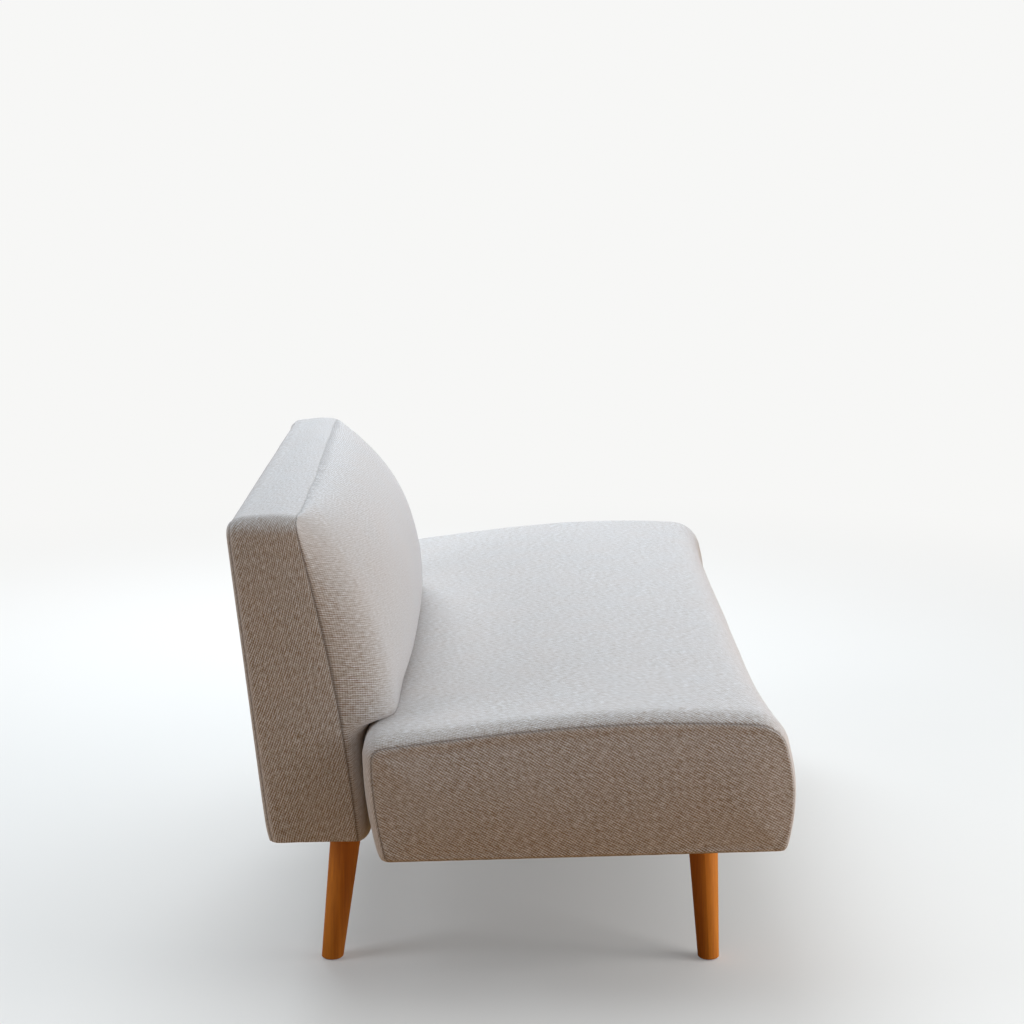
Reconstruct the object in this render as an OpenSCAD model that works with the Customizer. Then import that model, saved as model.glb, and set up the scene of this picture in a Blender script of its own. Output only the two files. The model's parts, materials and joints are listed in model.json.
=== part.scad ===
// Armless sofa: a wide seat pad and a narrower crowned back pad on four splayed wooden legs.
// X runs along the sofa, the front faces -Y and Z is up. The origin is on the floor, under the
// middle of the overall box. The sitter's right end is at -X. The back stands near that end and
// leaves the seat open at the other.

/* [Seat pad] */
// Length of the seat over its end panels
seat_len = 1360; // [1200:10:1700]
// Depth of the seat from its front to its rear face
seat_d = 560; // [500:2:640]
// Height of the seat's underside at its front
seat_underside_h = 230; // [190:1:290]
// Thickness of the seat pad at its front edge
seat_front_t = 185; // [170:1:220]
// Thickness of the seat pad at its rear edge
seat_rear_t = 167; // [155:1:205]
// Rise of the seat's top over a straight line from front to rear
seat_crown = 12.5; // [4:0.5:20]
// Radius of the front top edge
seat_front_r = 48; // [30:1:60]
// Radius of the rear top edge
seat_rear_r = 28; // [18:1:34]
// Radius of the two lower edges
seat_lower_r = 12; // [11:0.5:16]
// Radius of the soft edge round each end panel
seat_end_r = 25; // [20:1:32]
// Crown of each end panel
seat_end_crown = 4; // [1:0.5:8]
// How far the front is drawn in at the middle of its length
seat_front_bow = 8; // [2:0.5:14]
// Slope of both pads' undersides, lower at the rear, in degrees
frame_tilt = 1.7; // [0:0.1:3]

/* [Back pad] */
// Length of the back pad
back_len = 912; // [840:4:960]
// Distance from the seat's right end to the back's right end
back_inset = 75; // [60:1:120]
// Height of the back pad's top edge over the floor
back_top_h = 660; // [620:1:740]
// How far the back's underside lies above the seat's underside at the joint
back_lift = 5.5; // [4:0.5:9]
// Thickness of the back pad at its underside, from the front seam to the rear
back_base_t = 122.5; // [110:0.5:150]
// Distance from the seat's rear face to the front seam's foot
back_seam_gap = 13.5; // [12:0.5:20]
// Lean of the back's rear face in degrees
back_lean = 6; // [3:0.1:9]
// How far the back's front reaches forward over the seat's rear edge
back_reach = 40; // [32:1:46]
// Run of the front seam from its foot to its top
back_seam_run = 81.5; // [60:0.5:100]
// How far the front seam is drawn in at mid height
back_seam_sag = 10.5; // [2:0.5:14]
// Swell of the back's front at mid length, proud of the seam
back_bulge = 98; // [80:1:110]
// Swell of the back's front next to its ends, proud of the seam
back_end_bulge = 66; // [50:1:78]
// Height over the floor at which the front swells most
back_bulge_h = 491; // [470:1:520]
// Length of the soft turn from the front to each end
back_turn = 45; // [30:1:60]
// Radius of the top corners, seen from the front
back_corner_r = 24; // [18:0.5:30]
// Radius of the edges round the rear panel
back_rear_r = 16; // [12:0.5:18]
// Crown of the rear panel
back_rear_crown = 2; // [0:0.5:6]

/* [Legs] */
// Radius of each leg at its top
leg_top_r = 23; // [19:0.5:26]
// Loss of radius for each millimetre down the leg
leg_taper = 0.035; // [0.01:0.005:0.045]
// Splay of each leg along the depth, measured from its board, in degrees
leg_splay_d = 4.9; // [0:0.1:7]
// Splay of each leg along the length, measured from its board, in degrees
leg_splay_l = 4; // [0:0.1:7]
// Distance from the seat's end to the middle of each front leg's top
front_leg_inset = 231; // [225:1:250]
// Distance from the seat's front to the middle of a front leg's top
front_leg_setback = 105; // [90:1:140]
// Distance from the back's right end to the middle of the right rear leg's top
rear_leg_inset = 156; // [130:1:180]
// Distance from the front seam's foot back to the middle of the right rear leg's top
rear_leg_setback = 23; // [18:1:34]
// Distance from the seat's rear face to the middle of the left rear leg's top
open_leg_setback = 105; // [90:1:140]
// Bevel round the foot of each leg
foot_bevel = 1.6; // [0.8:0.1:3]
// Radius of the felt glide under each leg
glide_r = 9; // [6:0.5:10]
// Thickness of the glide
glide_t = 3; // [2:0.5:5]

/* [Timber frames] */
// Thickness of the seat rails
rail_t = 24; // [18:1:30]
// Height of the seat rails
rail_h = 70; // [60:1:80]
// Height of the cross rails
cross_rail_h = 50; // [40:1:56]
// Thickness of the flat boards that carry the legs
board_t = 22; // [18:1:26]
// Width of each seat leg board
leg_board_w = 110; // [90:1:130]
// Thickness of the back frame
back_frame_t = 24; // [20:1:28]
// Width of the back stiles and rails
stile_w = 50; // [40:1:60]

/* [Padding and covers] */
// Thickness of the cover fabric
fabric_t = 1.6; // [1:0.1:2]
// Thickness of the fibre wadding on the seat
wadding_t = 7.6; // [4:0.1:8]
// Foam left over the outer faces of the seat rails
rail_foam = 5; // [4:0.5:8]
// Thickness of the padding over the edges of the back frame
edge_pad_t = 10; // [7:0.5:10]
// Thickness of the cloth under each pad
under_cloth_t = 0.8; // [0.5:0.1:1.2]
// Width of the covers' turn under the frames
cover_return = 14; // [8:1:16]
// Clearance between soft layers
soft_gap = 0.3; // [0.2:0.05:0.5]

/* [Webbing] */
// Width of each strap
strap_w = 60; // [40:1:70]
// Thickness of each strap
strap_t = 2; // [1.4:0.1:2.4]
// Number of straps from front to rear of the seat
seat_cross_straps = 9; // [5:1:11]
// Number of straps along the seat
seat_long_straps = 3; // [2:1:5]
// Number of straps along the back, whose width follows from the space for them
back_long_straps = 4; // [2:1:5]
// Number of upright straps in the back
back_upright_straps = 5; // [3:1:7]

/* [Fastenings] */
// Thread radius of the bolts that hold the legs
leg_bolt_r = 4; // [3:0.5:5]
// Length of bolt inside the leg
leg_bolt_grip = 34; // [20:1:45]
// Flange radius of each tee nut
tee_flange_r = 11; // [9:0.5:13]
// Width of each joining bracket
bracket_w = 40; // [30:1:60]
// Thickness of each joining bracket
bracket_t = 3; // [2:0.5:4]
// Length of each flange of a joining bracket
bracket_flange = 62; // [56:1:70]
// Distance between neighbouring brackets
bracket_pitch = 215; // [150:5:230]
// Shank radius of the bracket screws
screw_r = 2.4; // [1.5:0.1:2.8]
// Length of a bracket screw under its head
screw_len = 24; // [14:1:26]

/* [Hidden] */

// Colours
fabric_colour = [0.62, 0.60, 0.57];
wood_colour = [0.70, 0.40, 0.15];
timber_colour = [0.80, 0.68, 0.48];
foam_colour = [0.93, 0.88, 0.68];
wadding_colour = [0.95, 0.95, 0.93];
strap_colour = [0.25, 0.25, 0.27];
cloth_colour = [0.12, 0.12, 0.13];
steel_colour = [0.70, 0.70, 0.72];
felt_colour = [0.22, 0.20, 0.18];

// Round stretches and small shared values
leg_fn = 64;
bolt_fn = 24;
screw_fn = 16;
overrun = 5;
least_r = 2.5;
fit = 0.1;
leg_room = 3;

// Seat outline: how far the foot of each face is drawn in, and the swell of each face
seat_front_foot = 11;
seat_front_top = 3;
seat_front_swell = 6.4;
seat_rear_foot = 14;
seat_rear_swell = 4;
seat_foot_share = 0.35;
crown_skew = 0.85;

// Layers of the seat, as depths below the outside of its cover
pad_depth = fabric_t + soft_gap + wadding_t + soft_gap;
return_z = under_cloth_t + soft_gap;
frame_z = return_z + fabric_t + soft_gap;
wadding_foot = frame_z + wadding_t / 2;

// Back's layers, as depths in front of its rear face
back_pad_depth = fabric_t + soft_gap + edge_pad_t;
rear_pad_t = 7;
weave = (strap_t + soft_gap) / 2;
back_frame_rear = fabric_t + rear_pad_t;
back_frame_front = back_frame_rear + back_frame_t;
back_strap_plane = back_frame_front + strap_t / 2 + weave + fit;
back_foam_plane = back_strap_plane + strap_t / 2 + weave + soft_gap;

// Overall box
back_underside_drop = seat_d * tan(frame_tilt);
joint_seat_z = seat_underside_h - back_underside_drop;
back_foot_z = joint_seat_z + back_lift - back_base_t * sin(frame_tilt);
back_rise = back_top_h - back_foot_z;
pads_d = seat_d + back_seam_gap + back_base_t;
front_reach = min([
    for (p = seat_path(0, return_z, 0))
        p[0] * cos(frame_tilt) + (p[1] - seat_front_t / 2) * sin(frame_tilt)
]);
seat_y0 = -(front_reach + pads_d + rear_run(back_top_h - back_rear_r)) / 2;
seat_origin_y = seat_y0 - seat_front_t / 2 * sin(frame_tilt);
seam_foot_y = seat_y0 + seat_d + back_seam_gap;
rear_foot_y = seam_foot_y + back_base_t;
half_back = back_len / 2;
back_x = back_inset + half_back - seat_len / 2;
end_cx = seat_len / 2 - seat_end_crown - seat_end_r;

// Places from shares of the sizes that they follow
seat_station_shares = [-0.75, -0.5, -0.25, 0, 0.25, 0.5, 0.75];
back_station_shares = [-0.86, -0.68, -0.46, -0.22, 0, 0.22, 0.46, 0.68, 0.86];
back_level_shares = [0.05, 0.15, 0.28, 0.42, 0.56, 0.69, 0.80, 0.89, 0.96, 1];
cross_rail_share = 0.33;
rail_screw_share = 0.74;
board_screw_share = 0.8;
bracket_screw_shares = [-0.27, 0.27];
back_strap_share = 0.72;
crown_power = 3;
end_dome_share = 1.6;
end_seam_share = 0.7;
back_low_shares = [0.3, 0.65, 0.92];
boxing_up_shares = [0, 0.35, 0.7];
boxing_down_shares = [0.7, 0.35, 0];
boxing_top_shares = [-0.6, -0.2, 0.2, 0.6];

// Seat frame: its own depth and height, turned by the tilt, as world Y and Z
function seat_yz(y, z) = [
    seat_origin_y + y * cos(frame_tilt) + z * sin(frame_tilt),
    seat_underside_h - y * sin(frame_tilt) + z * cos(frame_tilt)
];

// Back's underside: the same slope, from the front seam's foot
function back_yz(y, z) = [
    seam_foot_y + y * cos(frame_tilt) + z * sin(frame_tilt),
    back_foot_z + back_base_t * sin(frame_tilt) - y * sin(frame_tilt) + z * cos(frame_tilt)
];

// Back frame: depth behind (+) or before (-) the rear face and height along the lean
function lean_yz(y, z) = [
    rear_foot_y + y * cos(back_lean) + z * sin(back_lean),
    back_foot_z - y * sin(back_lean) + z * cos(back_lean)
];

function arc_points(centre, radius, from, to, steps) = [
    for (k = [0:steps])
        let (a = from + (to - from) * k / steps)
        centre + radius * [cos(a), sin(a)]
];

function swell_points(from, to, swell, steps) = [
    for (k = [1:steps - 1])
        let (s = k / steps, along = to - from)
        from + along * s + 4 * swell * s * (1 - s) * [along[1], -along[0]] / norm(along)
];

function tight_r(radius, depth) = max(radius - depth, least_r);

// One section of the seat, from the lower front edge over the top to the lower rear edge.
// depth is how far it lies below the cover's outside and low is its lower level.
function seat_path(depth, low, bow) =
    let (
        lower_r = tight_r(seat_lower_r, depth),
        front_r = tight_r(seat_front_r, depth),
        rear_r = tight_r(seat_rear_r, depth),
        front_low = [seat_front_foot + bow + depth + lower_r, low + lower_r],
        front_high = [seat_front_top + bow + depth + front_r, seat_front_t - depth - front_r],
        rear_high = [seat_d - depth - rear_r, seat_rear_t - depth - rear_r],
        rear_low = [seat_d - seat_rear_foot - depth - lower_r, low + lower_r],
        a = arc_points(front_low, lower_r, 270, 188, 2),
        b = arc_points(front_high, front_r, 174, 96, 4),
        c = arc_points(rear_high, rear_r, 84, -6, 4),
        d = arc_points(rear_low, lower_r, -8, -90, 2),
        top_from = b[4],
        top_to = c[0]
    )
    concat(
        a,
        swell_points(a[2], b[0], -seat_front_swell, 3),
        b,
        [
            for (k = [1:7])
                let (s = k / 8)
                top_from + (top_to - top_from) * s + [0, seat_crown * sin(180 * pow(s, crown_skew))]
        ],
        c,
        swell_points(c[4], d[0], -seat_rear_swell, 2),
        d
    );

// Rise of the lower edge where the sections are drawn in at an end
function foot_lift(inset) = seat_foot_share * seat_end_r * pow(min(inset / seat_end_r, 1), 2);

function seat_bow(x) = seat_front_bow * (1 - pow(min(abs(x) / end_cx, 1), 2));

// A seat section at x, with the soft end taken off it
function seat_section(x, end_inset, depth, low) = [
    for (p = seat_path(depth + end_inset, low + foot_lift(end_inset), seat_bow(x)))
        let (q = seat_yz(p[0], p[1]))
        [x, q[0], q[1]]
];

// Stations along the seat, as [x, inset], with the soft end from full height down to an angle
function seat_stations(depth, end_angle, steps) =
    let (r = seat_end_r - depth)
    concat(
        [
            for (k = [0:steps])
                let (a = end_angle + (90 - end_angle) * k / steps)
                [-end_cx - r * cos(a), r * (1 - sin(a))]
        ],
        [for (s = seat_station_shares) [s * end_cx, 0]],
        [
            for (k = [steps:-1:0])
                let (a = end_angle + (90 - end_angle) * k / steps)
                [end_cx + r * cos(a), r * (1 - sin(a))]
        ]
    );

// Triangles of a closed ring loft: rings are lists of points of one length
module ring_loft(rings) {
    n = len(rings[0]);
    m = len(rings);
    points = [for (ring = rings, p = ring) p];
    sides = [
        for (i = [0:m - 2], k = [0:n - 1])
            let (a = i * n + k, b = i * n + (k + 1) % n)
            each [[a, b, a + n], [b, b + n, a + n]]
    ];
    first = [for (k = [n - 1:-1:0]) k];
    last = [for (k = [0:n - 1]) (m - 1) * n + k];
    polyhedron(points = points, faces = concat(sides, [first, last]), convexity = 6);
}

// Triangles of a sheet with two faces: both are grids of one size, outer and inner
module sheet(outer, inner) {
    m = len(outer);
    n = len(outer[0]);
    count = m * n;
    points = concat([for (row = outer, p = row) p], [for (row = inner, p = row) p]);
    faces = concat(
        [
            for (i = [0:m - 2], k = [0:n - 2])
                let (a = i * n + k)
                each [[a, a + 1, a + n], [a + 1, a + n + 1, a + n]]
        ],
        [
            for (i = [0:m - 2], k = [0:n - 2])
                let (a = count + i * n + k)
                each [[a, a + n, a + 1], [a + 1, a + n, a + n + 1]]
        ],
        [
            for (k = [0:n - 2])
                each [[k + 1, k, count + k], [k + 1, count + k, count + k + 1]]
        ],
        [
            for (k = [0:n - 2])
                let (a = (m - 1) * n + k)
                each [[a, a + 1, count + a], [a + 1, count + a + 1, count + a]]
        ],
        [
            for (i = [0:m - 2])
                let (a = i * n)
                each [[a, a + n, count + a], [a + n, count + a + n, count + a]]
        ],
        [
            for (i = [0:m - 2])
                let (a = i * n + n - 1)
                each [[a + n, a, count + a], [a + n, count + a, count + a + n]]
        ]
    );
    polyhedron(points = points, faces = faces, convexity = 6);
}

// A bar along X from a polygon in world Y and Z
module bar(x_from, x_to, outline) {
    translate([x_from, 0, 0])
        rotate([90, 0, 90])
            linear_extrude(x_to - x_from)
                polygon(outline);
}

function seat_box(y_from, y_to, z_from, z_to) = [
    seat_yz(y_from, z_from), seat_yz(y_to, z_from), seat_yz(y_to, z_to), seat_yz(y_from, z_to)
];

function lean_box(y_from, y_to, z_from, z_to) = [
    lean_yz(y_from, z_from), lean_yz(y_to, z_from), lean_yz(y_to, z_to), lean_yz(y_from, z_to)
];

module in_seat_frame() {
    translate([0, seat_origin_y, seat_underside_h])
        rotate([-frame_tilt, 0, 0])
            children();
}

module in_back_base() {
    translate([0, seam_foot_y, back_foot_z + back_base_t * sin(frame_tilt)])
        rotate([-frame_tilt, 0, 0])
            children();
}

module at_back() {
    translate([back_x, 0, 0])
        children();
}

module in_back_frame() {
    translate([back_x, rear_foot_y, back_foot_z])
        rotate([-back_lean, 0, 0])
            children();
}

// Seat frame
front_rail_y = seat_front_foot + seat_front_bow + pad_depth + rail_foam;
rear_rail_y = seat_d - seat_rear_foot - pad_depth - rail_foam;
rail_half_x = end_cx + seat_end_r - pad_depth - 2 * rail_foam;
rail_top_z = frame_z + rail_h;
front_leg_x = seat_len / 2 - front_leg_inset;
open_leg_y = seat_d - open_leg_setback;
bracket_places = [for (k = [-1:1]) back_x + k * bracket_pitch];
seat_screw_y = rear_rail_y - rail_t * rail_screw_share;
tee_barrel_r = leg_bolt_r + 1.2;

// Rounds for the bracket screws, at one depth in a frame's own axes
module screw_row(y, radius, from, to) {
    for (x = bracket_places, s = bracket_screw_shares)
        translate([x + s * bracket_w, y, from])
            cylinder(h = to - from, r = radius, $fn = screw_fn);
}

module leg_board_bore(x, y) {
    translate([x, y, frame_z - overrun])
        cylinder(h = board_t + 2 * overrun, r = tee_barrel_r + fit, $fn = bolt_fn);
}

module seat_front_rail() {
    color(timber_colour)
        bar(-rail_half_x, rail_half_x,
            seat_box(front_rail_y, front_rail_y + rail_t, frame_z, rail_top_z));
}

module seat_rear_rail() {
    color(timber_colour)
        difference() {
            bar(-rail_half_x, rail_half_x,
                seat_box(rear_rail_y - rail_t, rear_rail_y, frame_z, rail_top_z));
            in_seat_frame()
                screw_row(seat_screw_y, screw_r + fit / 2, 0, screw_len - bracket_t);
        }
}

module seat_end_rail(side) {
    near = rail_half_x - rail_t;
    color(timber_colour)
        bar(side > 0 ? near : -rail_half_x, side > 0 ? rail_half_x : -near,
            seat_box(front_rail_y + rail_t, rear_rail_y - rail_t, frame_z, rail_top_z));
}

module seat_end_rail_left() {
    seat_end_rail(1);
}

module seat_end_rail_right() {
    seat_end_rail(-1);
}

module seat_cross_rails() {
    color(timber_colour)
        for (side = [-1, 1])
            bar(side * cross_rail_share * rail_half_x - rail_t / 2,
                side * cross_rail_share * rail_half_x + rail_t / 2,
                seat_box(front_rail_y + rail_t, rear_rail_y - rail_t, frame_z,
                    frame_z + cross_rail_h));
}

module seat_leg_board(leg_places) {
    color(timber_colour)
        difference() {
            bar(front_leg_x - leg_board_w / 2, front_leg_x + leg_board_w / 2,
                seat_box(front_rail_y + rail_t, rear_rail_y - rail_t, frame_z,
                    frame_z + board_t));
            in_seat_frame()
                for (y = leg_places)
                    leg_board_bore(front_leg_x, y);
        }
}

// The right board carries the front leg alone, the left one carries both legs of its end
module seat_leg_board_right() {
    mirror([1, 0, 0])
        seat_leg_board([front_leg_setback]);
}

module seat_leg_board_left() {
    seat_leg_board([front_leg_setback, open_leg_y]);
}

// Webbing: a strap rises over one crossing strap and dips under the next

function spread(from, to, count) = [
    for (k = [0:count - 1]) from + (to - from) * (k + 0.5) / count
];

function strap_line(from, to, crossings, wide, first) = concat(
    [[from, -weave]],
    [
        for (k = [0:len(crossings) - 1])
            let (up = (k + first) % 2 == 0 ? weave : -weave)
            each [[crossings[k] - wide / 2, up], [crossings[k] + wide / 2, up]]
    ],
    [[to, -weave]]
);

function strap_outline(line) = concat(
    [for (p = line) [p[0], p[1] - strap_t / 2]],
    [for (k = [len(line) - 1:-1:0]) [line[k][0], line[k][1] + strap_t / 2]]
);

seat_strap_z = rail_top_z + strap_t / 2 + weave + fit;
seat_strap_from = front_rail_y + fit;
seat_strap_to = rear_rail_y - fit;
seat_cross_x = spread(-rail_half_x + rail_t, rail_half_x - rail_t, seat_cross_straps);
seat_long_y = spread(front_rail_y + rail_t, rear_rail_y - rail_t, seat_long_straps);

module seat_webbing_cross() {
    color(strap_colour)
        in_seat_frame()
            for (k = [0:seat_cross_straps - 1])
                translate([seat_cross_x[k] - strap_w / 2, 0, seat_strap_z])
                    rotate([90, 0, 90])
                        linear_extrude(strap_w)
                            polygon(strap_outline(
                                strap_line(seat_strap_from, seat_strap_to, seat_long_y, strap_w,
                                    k)));
}

module seat_webbing_long() {
    color(strap_colour)
        in_seat_frame()
            for (k = [0:seat_long_straps - 1])
                translate([0, seat_long_y[k] + strap_w / 2, seat_strap_z])
                    rotate([90, 0, 0])
                        linear_extrude(strap_w)
                            polygon(strap_outline(
                                strap_line(-rail_half_x, rail_half_x, seat_cross_x, strap_w,
                                    k + 1)));
}

// Seat foam: one crowned block whose hollow takes the frame and its webbing
module seat_foam() {
    cavity_top = seat_strap_z + weave + strap_t / 2 + soft_gap;
    color(foam_colour)
        difference() {
            ring_loft([
                for (s = seat_stations(pad_depth, 0, 3))
                    seat_section(s[0], s[1], pad_depth, wadding_foot + soft_gap)
            ]);
            in_seat_frame()
                translate([-rail_half_x - soft_gap, front_rail_y - soft_gap, -overrun])
                    cube([
                        2 * (rail_half_x + soft_gap),
                        rear_rail_y - front_rail_y + 2 * soft_gap,
                        cavity_top + overrun
                    ]);
        }
}

module seat_wadding() {
    outer = fabric_t + soft_gap;
    inner = pad_depth - soft_gap;
    flat_inset = seat_end_r + seat_end_crown;
    end_from = end_cx + seat_end_r - pad_depth + soft_gap;
    end_to = end_cx + seat_end_r - fabric_t - soft_gap;
    color(wadding_colour) {
        sheet(
            [for (s = seat_stations(outer, 45, 2)) seat_section(s[0], s[1], outer, frame_z)],
            [for (s = seat_stations(inner, 45, 2)) seat_section(s[0], s[1], inner, wadding_foot)]
        );
        for (side = [-1, 1])
            bar(side > 0 ? end_from : -end_to, side > 0 ? end_to : -end_from,
                [
                    for (p = seat_path(flat_inset, frame_z + foot_lift(flat_inset), 0))
                        seat_yz(p[0], p[1])
                ]);
    }
}

// Main cover: one strip over front, top and rear, turned under the frame at both edges
function cover_row(x, inset, depth, low) =
    let (
        body = seat_section(x, inset, depth, low),
        lifted = low + foot_lift(inset),
        front = seat_yz(seat_front_foot + seat_front_bow + cover_return + seat_lower_r, lifted),
        rear = seat_yz(seat_d - seat_rear_foot - cover_return - seat_lower_r, lifted)
    )
    concat([[x, front[0], front[1]]], body, [[x, rear[0], rear[1]]]);

module seat_cover_main() {
    color(fabric_colour)
        sheet(
            [for (s = seat_stations(0, 45, 2)) cover_row(s[0], s[1], 0, return_z)],
            [
                for (s = seat_stations(fabric_t, 45, 2))
                    cover_row(s[0], s[1], fabric_t, return_z + fabric_t)
            ]
        );
}

// End cover: from the seam round the soft edge to a slightly crowned panel
module seat_cover_end_left() {
    seam = soft_gap * end_seam_share;
    outer_r = seat_end_r;
    inner_r = seat_end_r - fabric_t;
    dome = seat_end_r * end_dome_share;
    inner = concat(
        [[end_cx + inner_r + seat_end_crown, outer_r + dome, fabric_t]],
        [
            for (a = [0, 22, 45])
                [end_cx + inner_r * cos(a) + seam, outer_r - inner_r * sin(a), fabric_t]
        ]
    );
    outer = concat(
        [for (a = [45, 22, 0]) [end_cx + outer_r * cos(a) + seam, outer_r * (1 - sin(a)), 0]],
        [[end_cx + outer_r + seat_end_crown, outer_r + dome, 0]]
    );
    color(fabric_colour)
        ring_loft([
            for (s = concat(inner, outer))
                [
                    for (p = seat_path(s[1], return_z + s[2] + foot_lift(s[1] - s[2]), 0))
                        let (q = seat_yz(p[0], p[1]))
                        [s[0], q[0], q[1]]
                ]
        ]);
}

module seat_cover_end_right() {
    mirror([1, 0, 0])
        seat_cover_end_left();
}

module seat_dust_cover() {
    edge = seat_front_foot + seat_front_bow + seat_lower_r + cover_return / 2;
    rear_edge = seat_rear_foot + seat_lower_r + cover_return / 2;
    half_x = rail_half_x;
    color(cloth_colour)
        in_seat_frame()
            difference() {
                translate([-half_x, edge, 0])
                    cube([2 * half_x, seat_d - edge - rear_edge, under_cloth_t]);
                for (place = [
                    [-front_leg_x, front_leg_setback], [front_leg_x, front_leg_setback],
                    [front_leg_x, open_leg_y]
                ])
                    translate([place[0], place[1], -overrun])
                        cylinder(h = 2 * overrun, r = leg_top_r + leg_room, $fn = bolt_fn);
                for (x = bracket_places, s = bracket_screw_shares)
                    translate([x + s * bracket_w, seat_screw_y, -overrun])
                        cylinder(h = 2 * overrun, r = screw_r + fit, $fn = screw_fn);
            }
}

// Back: the seam's line and the rear face, as world Y at a height
function seam_y(z) =
    let (t = (z - back_foot_z) / back_rise)
    seam_foot_y + back_seam_run * t - 4 * back_seam_sag * t * (1 - t);

function rear_run(z) =
    let (t = min(max((z - back_foot_z) / back_rise, 0), 1))
    (z - back_foot_z) * tan(back_lean) + 4 * back_rear_crown * t * (1 - t);

function rear_y(z) = rear_foot_y + rear_run(z);

// The back's front rests on the seat's rear edge, so its lower part follows that edge
press_gap = 0.5;
press_y = seat_d - back_reach;
press_span = back_top_h - back_bulge_h;

function press_points(depth) =
    let (
        path = seat_path(-press_gap - depth, return_z, 0),
        top = path[16],
        arc = [for (k = [17:21]) path[k]],
        s = (press_y + depth - top[0]) / (arc[0][0] - top[0]),
        crease = top + (arc[0] - top) * s
    )
    [for (p = concat([for (k = [4:-1:0]) arc[k]], [crease])) seat_yz(p[0], p[1])];

// Height of the back's outline at x, with its rounded top corners
function back_top_at(x, depth) =
    let (
        r = back_corner_r - depth,
        past = min(max(abs(x) - (half_back - back_corner_r), 0), r)
    )
    back_top_h - back_corner_r + sqrt(r * r - past * past);

// Levels of the back's front at x, as [z, swell at mid length, swell next to the ends]
function front_levels(x, depth) =
    let (
        press = press_points(depth),
        low = back_foot_z + back_base_t * sin(frame_tilt) + return_z + depth,
        low_y = press[0][0] + soft_gap,
        crease_z = press[5][1],
        top_z = back_top_h - depth,
        rise = back_bulge_h - crease_z
    )
    concat(
        [[low, seam_y(low) - low_y - depth, seam_y(low) - low_y - depth]],
        [
            for (s = back_low_shares)
                let (z = low + (press[0][1] - low) * s)
                [z, seam_y(z) - low_y, seam_y(z) - low_y]
        ],
        [
            for (k = [0:4])
                let (at = seam_y(press[k][1]) - press[k][0])
                [press[k][1], at, at]
        ],
        [
            let (at = seam_y(crease_z) - press[5][0])
            [crease_z, at, min(at, end_swell(crease_z, depth))]
        ],
        [
            for (s = back_level_shares)
                let (
                    z = crease_z + (top_z - crease_z) * s,
                    mid = mid_swell(z, depth),
                    real_z = crease_z + (back_top_at(x, depth) - crease_z) * s
                )
                [real_z, mid, min(mid, end_swell(z, depth))]
        ]
    );

function mid_swell(z, depth) =
    let (t = (z - back_bulge_h) / (press_span - depth))
    (back_bulge - depth) * sqrt(max(1 - t * t, 0));

function end_swell(z, depth) =
    let (
        from = back_bulge_h - press_span / 2,
        t = max(z - from, 0) / (back_top_h - depth - from)
    )
    (back_end_bulge - depth) * max(1 - t * t, 0);

// Stations along the back, as [x, how far the swell has come out]
function back_stations(depth) =
    let (r = back_turn - depth, ends = [0, 25, 50, 72, 90], half = half_back - depth)
    concat(
        [for (a = ends) [-half + r * (1 - cos(a)), sin(a)]],
        [for (s = back_station_shares) [s * (half - r), 1]],
        [for (k = [4:-1:0]) [half - r * (1 - cos(ends[k])), sin(ends[k])]]
    );

function front_row(x, out, depth) =
    let (share = 1 - pow(min(abs(x) / half_back, 1), crown_power))
    [
        for (v = front_levels(x, depth))
            [x, seam_y(v[0]) - (v[2] + (v[1] - v[2]) * share) * out, v[0]]
    ];

module back_cover_front() {
    color(fabric_colour)
        at_back()
            sheet(
                [for (s = back_stations(0)) front_row(s[0], s[1], 0)],
                [for (s = back_stations(fabric_t)) front_row(s[0], s[1], fabric_t)]
            );
}

module back_front_foam() {
    depth = fabric_t + 2 * soft_gap;
    color(foam_colour)
        difference() {
            at_back()
                sheet(
                    [for (s = back_stations(depth)) front_row(s[0], s[1], depth)],
                    [
                        for (s = back_stations(depth))
                            [
                                for (v = front_levels(s[0], depth))
                                    [s[0], lean_y(-back_foam_plane, v[0]), v[0]]
                            ]
                    ]
                );
            in_back_base()
                translate([back_x - frame_half - soft_gap, board_front - soft_gap, -overrun])
                    cube([
                        2 * (frame_half + soft_gap),
                        back_base_t,
                        overrun + board_low + board_t + tee_flange_t + soft_gap
                    ]);
        }
}

function lean_y(y, z) = rear_foot_y + y / cos(back_lean) + (z - back_foot_z) * tan(back_lean);

// Boxing: the strip up one end, over the top and down the other. Each entry gives x, z, the way
// in as x and z, and whether the row is a foot, which follows the slope of the underside.
function boxing_path() =
    let (
        r = back_corner_r,
        high = back_top_h - r,
        wide = half_back - r,
        low = back_foot_z + return_z
    )
    concat(
        [for (s = boxing_up_shares) [-half_back, low + (high - low) * s, 1, 0, s == 0 ? 1 : 0]],
        [
            for (a = [180:-22.5:90])
                [-wide + r * cos(a), high + r * sin(a), -cos(a), -sin(a), 0]
        ],
        [for (s = boxing_top_shares) [s * wide, back_top_h, 0, -1, 0]],
        [
            for (a = [90:-22.5:0])
                [wide + r * cos(a), high + r * sin(a), -cos(a), -sin(a), 0]
        ],
        [for (s = boxing_down_shares) [half_back, low + (high - low) * s, -1, 0, s == 0 ? 1 : 0]]
    );

function foot_rise(p, y) = p[4] * (rear_foot_y - y) * tan(frame_tilt);

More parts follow.
